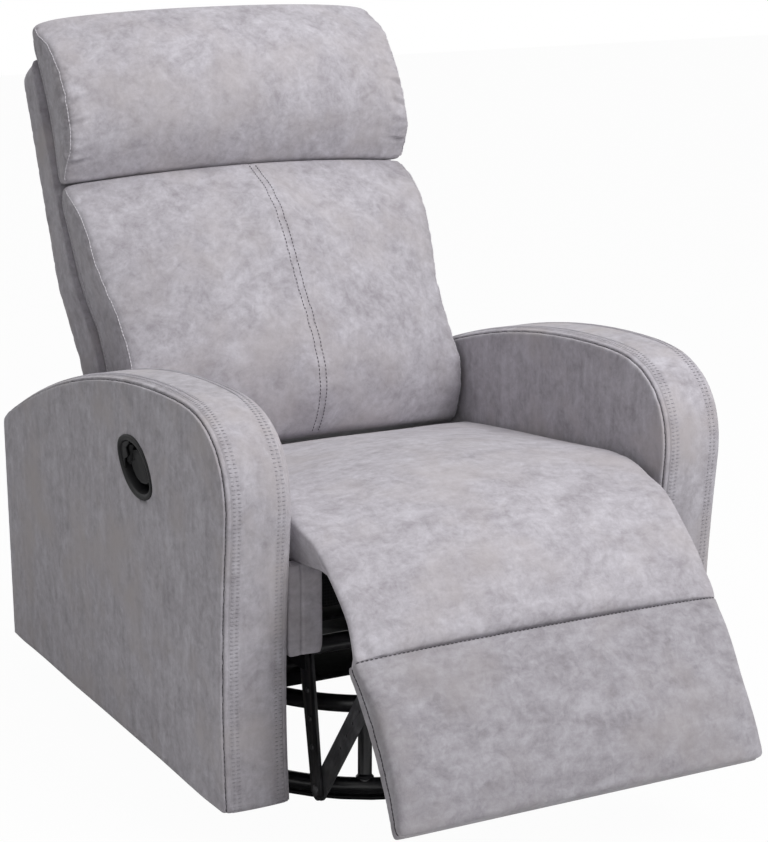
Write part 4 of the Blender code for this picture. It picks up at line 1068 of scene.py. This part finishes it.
def build_back_cover(sizes, cloth, thread):
    """The outer back: a padded skin over the frame, with a seam round its rear panel."""
    solid = Solid(BACK_FRAME @ Matrix.Rotation(math.pi, 4, "Y"), "back_cover")
    pillow = Pillow("back_outer_cover", (56, 60, 6), solid.point, cloth, 3)
    _, along, deep = pillow.counts
    lines, inner = (
        [*pillow.side_lines(deep, inset), pillow.line(0, along=along - inset, deep=deep)] for inset in (0, 1)
    )
    obj = pillow.finer()
    for i, line in enumerate(lines):
        sew(obj, line, 0.6 * sizes.seam_depth, sizes.seam_width, pucker=0.0010, reach=0.04, pitch=0.03,
            seed=31.0 + i)
    settle(obj, "back", "upholstery", "back_cover")
    skin = Skin(obj)
    stitching("back_outer_stitching", skin, skin.rows(inner, run_stitch(sizes)), thread, "back")


def build_cheeks(cloth):
    for side, name in SIDES:
        low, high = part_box(f"seat_cheek_{name}")
        middle = Matrix.Translation(((low.x + high.x) / 2, 0, 0))
        solid = Solid(middle @ panel(high.y, low.z, 90), f"seat_cheek_{name}")
        pillow = Pillow(f"seat_cheek_cover_{name}", (18, 34, 7), solid.point, cloth, 3)
        line = pillow.line(1, across=11 if side > 0 else 7, deep=7)
        obj = pillow.finer()
        sew(obj, line, depth=0.002, width=0.0022, pucker=0.0006, reach=0.02, pitch=0.012, seed=41.0)
        settle(obj, "chassis", "upholstery", f"seat_cheek_{name}")


# Steel and plastic


def add_to(bm, made):
    """Moves one bmesh into another."""
    mesh = bpy.data.meshes.new("piece")
    made.to_mesh(mesh)
    made.free()
    bm.from_mesh(mesh)
    bpy.data.meshes.remove(mesh)


def turned(profile, place, steps):
    """A shape turned round the z of a frame, from its profile of (radius, height)."""
    bm = bmesh.new()
    verts = [bm.verts.new((radius, 0, height)) for radius, height in profile]
    edges = [bm.edges.new(pair) for pair in zip(verts, verts[1:])]
    bmesh.ops.spin(bm, geom=verts + edges, cent=(0, 0, 0), axis=(0, 0, 1), angle=2 * math.pi, steps=steps,
                   use_merge=True)
    bmesh.ops.remove_doubles(bm, verts=bm.verts, dist=1e-6)
    bmesh.ops.transform(bm, matrix=place, verts=bm.verts)
    bmesh.ops.recalc_face_normals(bm, faces=bm.faces)
    return in_order(bm)


def plate(outline, low, high, rim):
    """A flat plate from its outline, between two heights, with its rims rounded."""
    bm = bmesh.new()
    face = bm.faces.new([bm.verts.new((p.x, p.y, low)) for p in outline])
    made = bmesh.ops.extrude_face_region(bm, geom=[face])["geom"]
    bmesh.ops.translate(bm, vec=(0, 0, high - low), verts=only(BMVert, made))
    bmesh.ops.recalc_face_normals(bm, faces=bm.faces)
    soften_rims(bm, rim, 3)
    return in_order(bm)


def between(a, b):
    """A frame at a whose z runs to b."""
    a, b = Vector(a), Vector(b)
    return Matrix.Translation(a) @ (b - a).to_track_quat("Z", "Y").to_matrix().to_4x4()


def ring_line(node):
    """A ring's radius and height along the middle of its tube, and the tube's own radius."""
    low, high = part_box(node)
    tube = (high.z - low.z) / 2
    return high.x - tube, (low.z + high.z) / 2, tube


def build_rings(sizes, paint):
    for node, name in BASE_RINGS:
        radius, z, tube = ring_line(node)
        bm = bmesh.new()
        place = Matrix.Translation((radius, 0, z)) @ Matrix.Rotation(math.pi / 2, 4, "X")
        bmesh.ops.create_circle(bm, segments=sizes.tube_sides, radius=tube, matrix=place)
        bmesh.ops.spin(bm, geom=bm.verts[:] + bm.edges[:], cent=(0, 0, 0), axis=(0, 0, 1), angle=2 * math.pi,
                       steps=sizes.ring_steps, use_merge=True)
        bmesh.ops.remove_doubles(bm, verts=bm.verts, dist=1e-5)
        bmesh.ops.recalc_face_normals(bm, faces=bm.faces)
        settle(keep(name, in_order(bm), paint), "base", "black_steel", node)


def build_posts(sizes, paint):
    """Four posts between the rings, each with a weld bead round both ends."""
    ends = [ring_line(node)[:2] for node, _ in BASE_RINGS]
    bead = [(0, POST_INSIDE), (POST_RADIUS, POST_INSIDE)]
    bead += [(POST_RADIUS + out, height) for out, height in POST_BEAD]
    for i in range(4):
        turn = math.radians(POST_TURN + 90 * i)
        foot, head = [Vector((r * math.sin(turn), -r * math.cos(turn), z)) for r, z in ends]
        length = (head - foot).length
        profile = bead + [(radius, length - height) for radius, height in reversed(bead)]
        post = keep(f"base_post_tube_{i + 1}", turned(profile, between(foot, head), sizes.tube_sides), paint)
        settle(sharpen(post), "base", "black_steel", f"base_post_{i + 1}")


def build_drive_tube(sizes, paint):
    """The hollow tube that ties both front links."""
    low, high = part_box("drive_tube")
    y, z = (low.y + high.y) / 2, (low.z + high.z) / 2
    length, out = high.x - low.x, (high.z - low.z) / 2
    rim = [(0.0082, 0.02), (0.0082, 0.0006), (0.0088, 0.0), (out - 0.0012, 0.0), (out, 0.0012)]
    profile = rim + [(r, length - h) for r, h in reversed(rim)]
    bm = turned(profile + [profile[0]], between((low.x, y, z), (high.x, y, z)), 2 * sizes.tube_sides)
    settle(sharpen(keep("drive_tube_steel", bm, paint)), "front_links", "black_steel", "drive_tube")


def strap(ends, radius, x, holes):
    """A flat bar with round ends and holes, from side to side at two x, its rims rounded."""
    a, b = Vector((x[0], *ends[0])), Vector((x[0], *ends[1]))
    along = (b - a).normalized()
    place = Matrix((along, along.cross(Vector((1, 0, 0))), Vector((1, 0, 0)))).transposed().to_4x4()
    place.translation = a
    bm = bmesh.new()
    for v in bmesh.ops.create_circle(bm, segments=40, radius=radius)["verts"]:
        if v.co.x > 1e-5:
            v.co.x += (b - a).length
    for at, size in holes:
        bmesh.ops.create_circle(bm, segments=20, radius=size, matrix=Matrix.Translation((at, 0, 0)))
    bmesh.ops.triangle_fill(bm, edges=bm.edges[:], use_beauty=True)
    made = bmesh.ops.extrude_face_region(bm, geom=bm.faces[:])["geom"]
    bmesh.ops.translate(bm, vec=(0, 0, x[1] - x[0]), verts=only(BMVert, made))
    bmesh.ops.recalc_face_normals(bm, faces=bm.faces)
    soften_rims(bm, 0.0005)
    bmesh.ops.transform(bm, matrix=place, verts=bm.verts)
    bmesh.ops.recalc_face_normals(bm, faces=bm.faces)
    return in_order(bm)


def build_links(worn):
    """Footrest links with their holes, and the rivets of the front links."""
    length = math.dist(KNEE_PIN, BRACKET_PIN)
    holes = [(0, KNEE_HOLE), (length, BRACKET_HOLE)] + [(length * t, SMALL_HOLE) for t in LINK_HOLES]
    rivets = [(KNEE_PIN, KNEE_RIVET)]
    for t in LINK_RIVETS:
        rivets.append(([a + (b - a) * t for a, b in zip(DRIVE_AXIS, KNEE_PIN)], SMALL_RIVET))
    for side, name in SIDES:
        low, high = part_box(f"footrest_link_{name}")
        bm = strap((KNEE_PIN, BRACKET_PIN), LINK_END, (low.x, high.x), holes)
        link = sharpen(keep(f"footrest_link_bar_{name}", bm, worn))
        settle(link, "footrest_links", "black_steel", f"footrest_link_{name}")
        low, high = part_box(f"front_link_{name}")
        face = high.x if side > 0 else low.x
        bm = bmesh.new()
        for spot, radius in rivets:
            dome = [(0, 0)] + [(radius * r, height) for r, height in RIVET_DOME]
            add_to(bm, turned(dome, between((face, *spot), (face + side, *spot)), 20))
        settle(sharpen(keep(f"front_link_rivets_{name}", bm, worn)), "front_links", "black_steel")


def rounded(node, body, slot, material, width=0.0008):
    """Stands a copy of a node with softened edges in its place."""
    bm = node_copy(node)
    bmesh.ops.dissolve_limit(bm, angle_limit=math.radians(1.5), use_dissolve_boundaries=False, verts=bm.verts,
                             edges=bm.edges, delimit=set())
    sharp = math.radians(38)
    soften(bm, [e for e in bm.edges if len(e.link_faces) == 2 and e.calc_face_angle(0) > sharp], width)
    bmesh.ops.recalc_face_normals(bm, faces=bm.faces)
    settle(sharpen(keep(f"rounded_{node}", bm, material)), body, slot, node)


def build_rocker_springs(steel):
    """Copies of the rocker springs, each with a mesh of its own."""
    for end in ("front", "rear"):
        node = f"rocker_spring_{end}"
        spring = sharpen(keep(f"rocker_coil_{end}", node_copy(node), steel), 60)
        settle(spring, "turntable", "spring_steel", node)
        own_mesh(spring)


def leaf(p):
    """Draws an oval's ends to soft points."""
    return Vector((p.x * (1 - HANDLE_POINT * (p.y / HANDLE_LONG) ** 2), p.y, p.z))


def build_handle(plastic):
    """The leaf-shaped cup of the release handle, its shelf and its paddle."""
    cup = turned(HANDLE_PROFILE, Matrix.Identity(4), 72)
    for v in cup.verts:
        out = math.hypot(v.co.x, v.co.y)
        if out > 1e-6:
            v.co.y *= (out + HANDLE_STRETCH) / out
    short, long = HANDLE_INSIDE
    arc = [Vector((short * math.cos(t), long * math.sin(t), 0)) for t in np.linspace(*SHELF_ARC, 22)]
    edge = [Vector((x, y, 0)) for x, y in SHELF_EDGE]
    add_to(cup, plate([*arc, *edge], -0.0016, 0.0012, 0.0006))
    for v in cup.verts:
        v.co = leaf(v.co)
    paddle = plate([leaf(Vector((x, y, 0))) for x, y in PADDLE_EDGE], -0.0115, -0.0055, 0.0011)
    top = max(paddle.faces, key=lambda f: (round(f.calc_center_median().z, 5), f.calc_area()))
    bmesh.ops.inset_region(paddle, faces=[top], thickness=0.0022, depth=-0.0007)
    barrel = Matrix.Translation(LEVER_PLACE) @ Matrix.Rotation(math.pi / 2, 4, "Y")
    add_to(paddle, turned(LEVER_BARREL, barrel, 20))
    add_to(paddle, plate([Vector((x, y, 0)) for x, y in PADDLE_WEB], -0.0110, -0.0070, 0.0005))
    for bm in (cup, paddle):
        bmesh.ops.transform(bm, matrix=HANDLE_FRAME, verts=bm.verts)
        bmesh.ops.recalc_face_normals(bm, faces=bm.faces)
        in_order(bm)
    cup, paddle = keep("handle_cup_moulding", cup, plastic), keep("release_paddle", paddle, plastic)
    settle(sharpen(cup, 32), "chassis", "black_plastic", "handle_cup")
    settle(sharpen(paddle, 32), "lever", "black_plastic", "release_lever")


def dress_nodes(by_slot, matte, wrap):
    """Gives every CAD node of the frame its finish, and softens the edges of the flat ones."""
    bodies = {node: body for body, nodes in frame["record"]["behaviour"]["bodies"].items() for node in nodes}
    for part in frame["record"]["subparts"]:
        node, slot = part["node"], part["material_slot"]
        if slot not in by_slot:
            continue
        # The seat rails take the near-black cloth, which paints the shade under the seat.
        material = matte if node.startswith(MATTE) else wrap if node.startswith(WRAPPED) else by_slot[slot]
        mesh = frame["nodes"][node].data
        mesh.materials.clear()
        mesh.materials.append(material)
        if node.startswith(ROUNDED):
            rounded(node, bodies[node], slot, material)


# Stage


def build_camera(scene):
    camera = bpy.data.cameras.new("camera")
    camera.lens = CAMERA_LENS
    camera.sensor_width = CAMERA_SENSOR
    camera.shift_x, camera.shift_y = CAMERA_SHIFT
    view = bpy.data.objects.new("camera", camera)
    view.location = CAMERA_PLACE
    view.rotation_euler = (math.radians(90 - CAMERA_DOWN), 0, math.radians(CAMERA_ROUND))
    scene.collection.objects.link(view)
    scene.camera = view
    scene.view_settings.view_transform = "Standard"


def build_floor(finish):
    """A pale floor that the camera sees as nearly white, but for the shadows on it."""
    bm = bmesh.new()
    bmesh.ops.create_grid(bm, x_segments=8, y_segments=8, size=FLOOR_HALF)
    s = Surface("pale_floor")
    tone = s.mix(s.noise(2.0, 2), dimmed(finish.floor, 0.985), finish.floor)
    s.finish(colour=tone, roughness=0.9, specular=0.1)
    rays = s.add("ShaderNodeLightPath").outputs
    white = s.add("ShaderNodeEmission", Strength=1.0)
    both = s.add("ShaderNodeMixShader", Fac=s.math("MULTIPLY", rays["Is Camera Ray"], FLOOR_WHITE))
    s.put(both.inputs[1], s.shader.outputs["BSDF"])
    s.put(both.inputs[2], white.outputs["Emission"])
    s.put(s.tree.nodes["Material Output"].inputs["Surface"], both.outputs["Shader"])
    keep("floor", bm, s.material, False)


def build_sky(scene):
    """A white sky, which lights the chair less than the camera and reflections show."""
    world = scene.world or bpy.data.worlds.new("studio")
    scene.world = world
    world.use_nodes = True
    tree = world.node_tree
    background = tree.nodes["Background"]
    background.inputs["Color"].default_value = (1, 1, 1, 1)
    rays = tree.nodes.new("ShaderNodeLightPath").outputs
    seen = rays["Is Camera Ray"]
    for name in ("Is Glossy Ray", "Is Transmission Ray"):
        more = tree.nodes.new("ShaderNodeMath")
        more.operation = "MAXIMUM"
        tree.links.new(seen, more.inputs[0])
        tree.links.new(rays[name], more.inputs[1])
        seen = more.outputs["Value"]
    level = tree.nodes.new("ShaderNodeMapRange")
    level.inputs["To Min"].default_value = SKY_LIGHT
    tree.links.new(seen, level.inputs["Value"])
    tree.links.new(level.outputs["Result"], background.inputs["Strength"])


def build_lights(scene):
    for name, place, size, power in LIGHTS:
        light = bpy.data.lights.new(name, "AREA")
        light.size = size
        light.energy = power
        lamp = bpy.data.objects.new(name, light)
        lamp.location = place
        lamp.rotation_euler = (Vector(LIGHT_TARGET) - Vector(place)).to_track_quat("-Z", "Y").to_euler()
        scene.collection.objects.link(lamp)


def shared(context):
    """The sizes and the finish that the operators read."""
    scene = context.scene
    return scene.recliner_sizes, scene.recliner_finish


class RECLINER_OT_arms(bpy.types.Operator):
    """Makes both arms with their bands, seams and topstitching"""

    bl_idname = "recliner.arms"
    bl_label = "Arms"

    def execute(self, context):
        sizes, finish = shared(context)
        # Warmth 0.95, against 0.55 for the seat, is partly the cloth's own tint and partly painted warm shade
        # for the arms' shaded sides.
        cloth = suede("suede_arms", finish, (1.6, 1.6, 0.35), 1.0, 0.95)
        thread = sewing_thread("arm_thread", dimmed(finish.cloth_light, 0.80))
        dark = sewing_thread("arm_seam_thread", finish.thread_dark)
        for side, name in SIDES:
            build_arm(side, name, sizes, cloth, thread, dark)
        return {"FINISHED"}


class RECLINER_OT_seat(bpy.types.Operator):
    """Makes the seat with its calf pad, the footrest pad and the cheeks of the seat box"""

    bl_idname = "recliner.seat"
    bl_label = "Seat and footrest"

    def execute(self, context):
        sizes, finish = shared(context)
        cloth = suede("suede_seat", finish, (0.45, 1.4, 1.4))
        thread = sewing_thread("footrest_thread", finish.thread_dark)
        build_seat(sizes, cloth)
        # The footrest's suede is dimmed to 0.80 of the seat's. This is painted shade for a pad that tilts away
        # from the lamps.
        build_footrest(sizes, suede("suede_footrest_painted_shade", finish, (0.45, 1.4, 1.4), 0.80), thread)
        build_cheeks(cloth)
        return {"FINISHED"}


class RECLINER_OT_back(bpy.types.Operator):
    """Makes the back's cushions, its outer cover and their seams"""

    bl_idname = "recliner.back"
    bl_label = "Back"

    def execute(self, context):
        sizes, finish = shared(context)
        cloth = suede("suede_back", finish)
        # Warmth 0.95, against 0.55 for the cushions, is partly the cloth's own tint and partly painted warm
        # shade for the back's shaded sides and rear.
        outer = suede("suede_outer_back", finish, (1.2, 1.2, 0.7), 1.0, 0.95)
        thread = sewing_thread("back_thread", finish.thread_light)
        dark = sewing_thread("back_seam_thread", dimmed(finish.cloth_dark, 0.45))
        build_lower_back(sizes, cloth, thread, dark)
        build_head(sizes, cloth, thread)
        build_back_cover(sizes, outer, dark)
        return {"FINISHED"}


class RECLINER_OT_base(bpy.types.Operator):
    """Makes the round tubes of the base and finishes the steel, timber and plastic"""

    bl_idname = "recliner.base"
    bl_label = "Base and frame"

    def execute(self, context):
        sizes, finish = shared(context)
        paint = painted_steel("black_paint", finish.paint)
        plastic = moulded_plastic("black_plastic", finish.plastic)
        wire = bare_steel("spring_wire", finish.spring)
        by_slot = {
            "black_steel": paint, "black_plastic": plastic, "spring_steel": wire,
            "timber": plywood("plywood", finish.timber),
            "webbing": woven_webbing("elastic_webbing", finish.webbing),
        }
        matte = painted_steel("matte_paint", dimmed(finish.paint, 0.6), 0.1, 0.4)
        # The seat rails' cloth is the webbing at 0.08 of its colour: painted shade under the seat.
        dress_nodes(by_slot, matte, woven_webbing("dust_cloth_painted_shade", dimmed(finish.webbing, 0.08)))
        build_rings(sizes, paint)
        build_posts(sizes, paint)
        build_drive_tube(sizes, paint)
        build_links(painted_steel("worn_paint", finish.link_paint, 0.5))
        build_rocker_springs(wire)
        build_handle(plastic)
        return {"FINISHED"}


class RECLINER_OT_stage(bpy.types.Operator):
    """Sets the camera, the floor and the soft studio light"""

    bl_idname = "recliner.stage"
    bl_label = "Stage"

    def execute(self, context):
        build_camera(context.scene)
        build_floor(shared(context)[1])
        build_sky(context.scene)
        build_lights(context.scene)
        return {"FINISHED"}


OPERATORS = (RECLINER_OT_stage, RECLINER_OT_base, RECLINER_OT_arms, RECLINER_OT_seat, RECLINER_OT_back)


class RECLINER_PT_panel(bpy.types.Panel):
    """Lists the recliner's pieces in the sidebar"""

    bl_idname = "RECLINER_PT_panel"
    bl_label = "Recliner"
    bl_space_type = "VIEW_3D"
    bl_region_type = "UI"
    bl_category = "Recliner"

    def draw(self, context):
        for operator in OPERATORS:
            self.layout.operator(operator.bl_idname)
        for group in shared(context):
            for name in group.__annotations__:
                self.layout.prop(group, name)


CLASSES = (ReclinerSizes, ReclinerFinish, *OPERATORS, RECLINER_PT_panel)


def register():
    for cls in CLASSES:
        bpy.utils.register_class(cls)
    bpy.types.Scene.recliner_sizes = PointerProperty(type=ReclinerSizes)
    bpy.types.Scene.recliner_finish = PointerProperty(type=ReclinerFinish)


def unregister():
    del bpy.types.Scene.recliner_finish
    del bpy.types.Scene.recliner_sizes
    for cls in reversed(CLASSES):
        bpy.utils.unregister_class(cls)


def main():
    register()
    bpy.ops.recliner.stage()
    bpy.ops.recliner.base()
    bpy.ops.recliner.arms()
    bpy.ops.recliner.seat()
    bpy.ops.recliner.back()


if __name__ == "__main__":
    main()
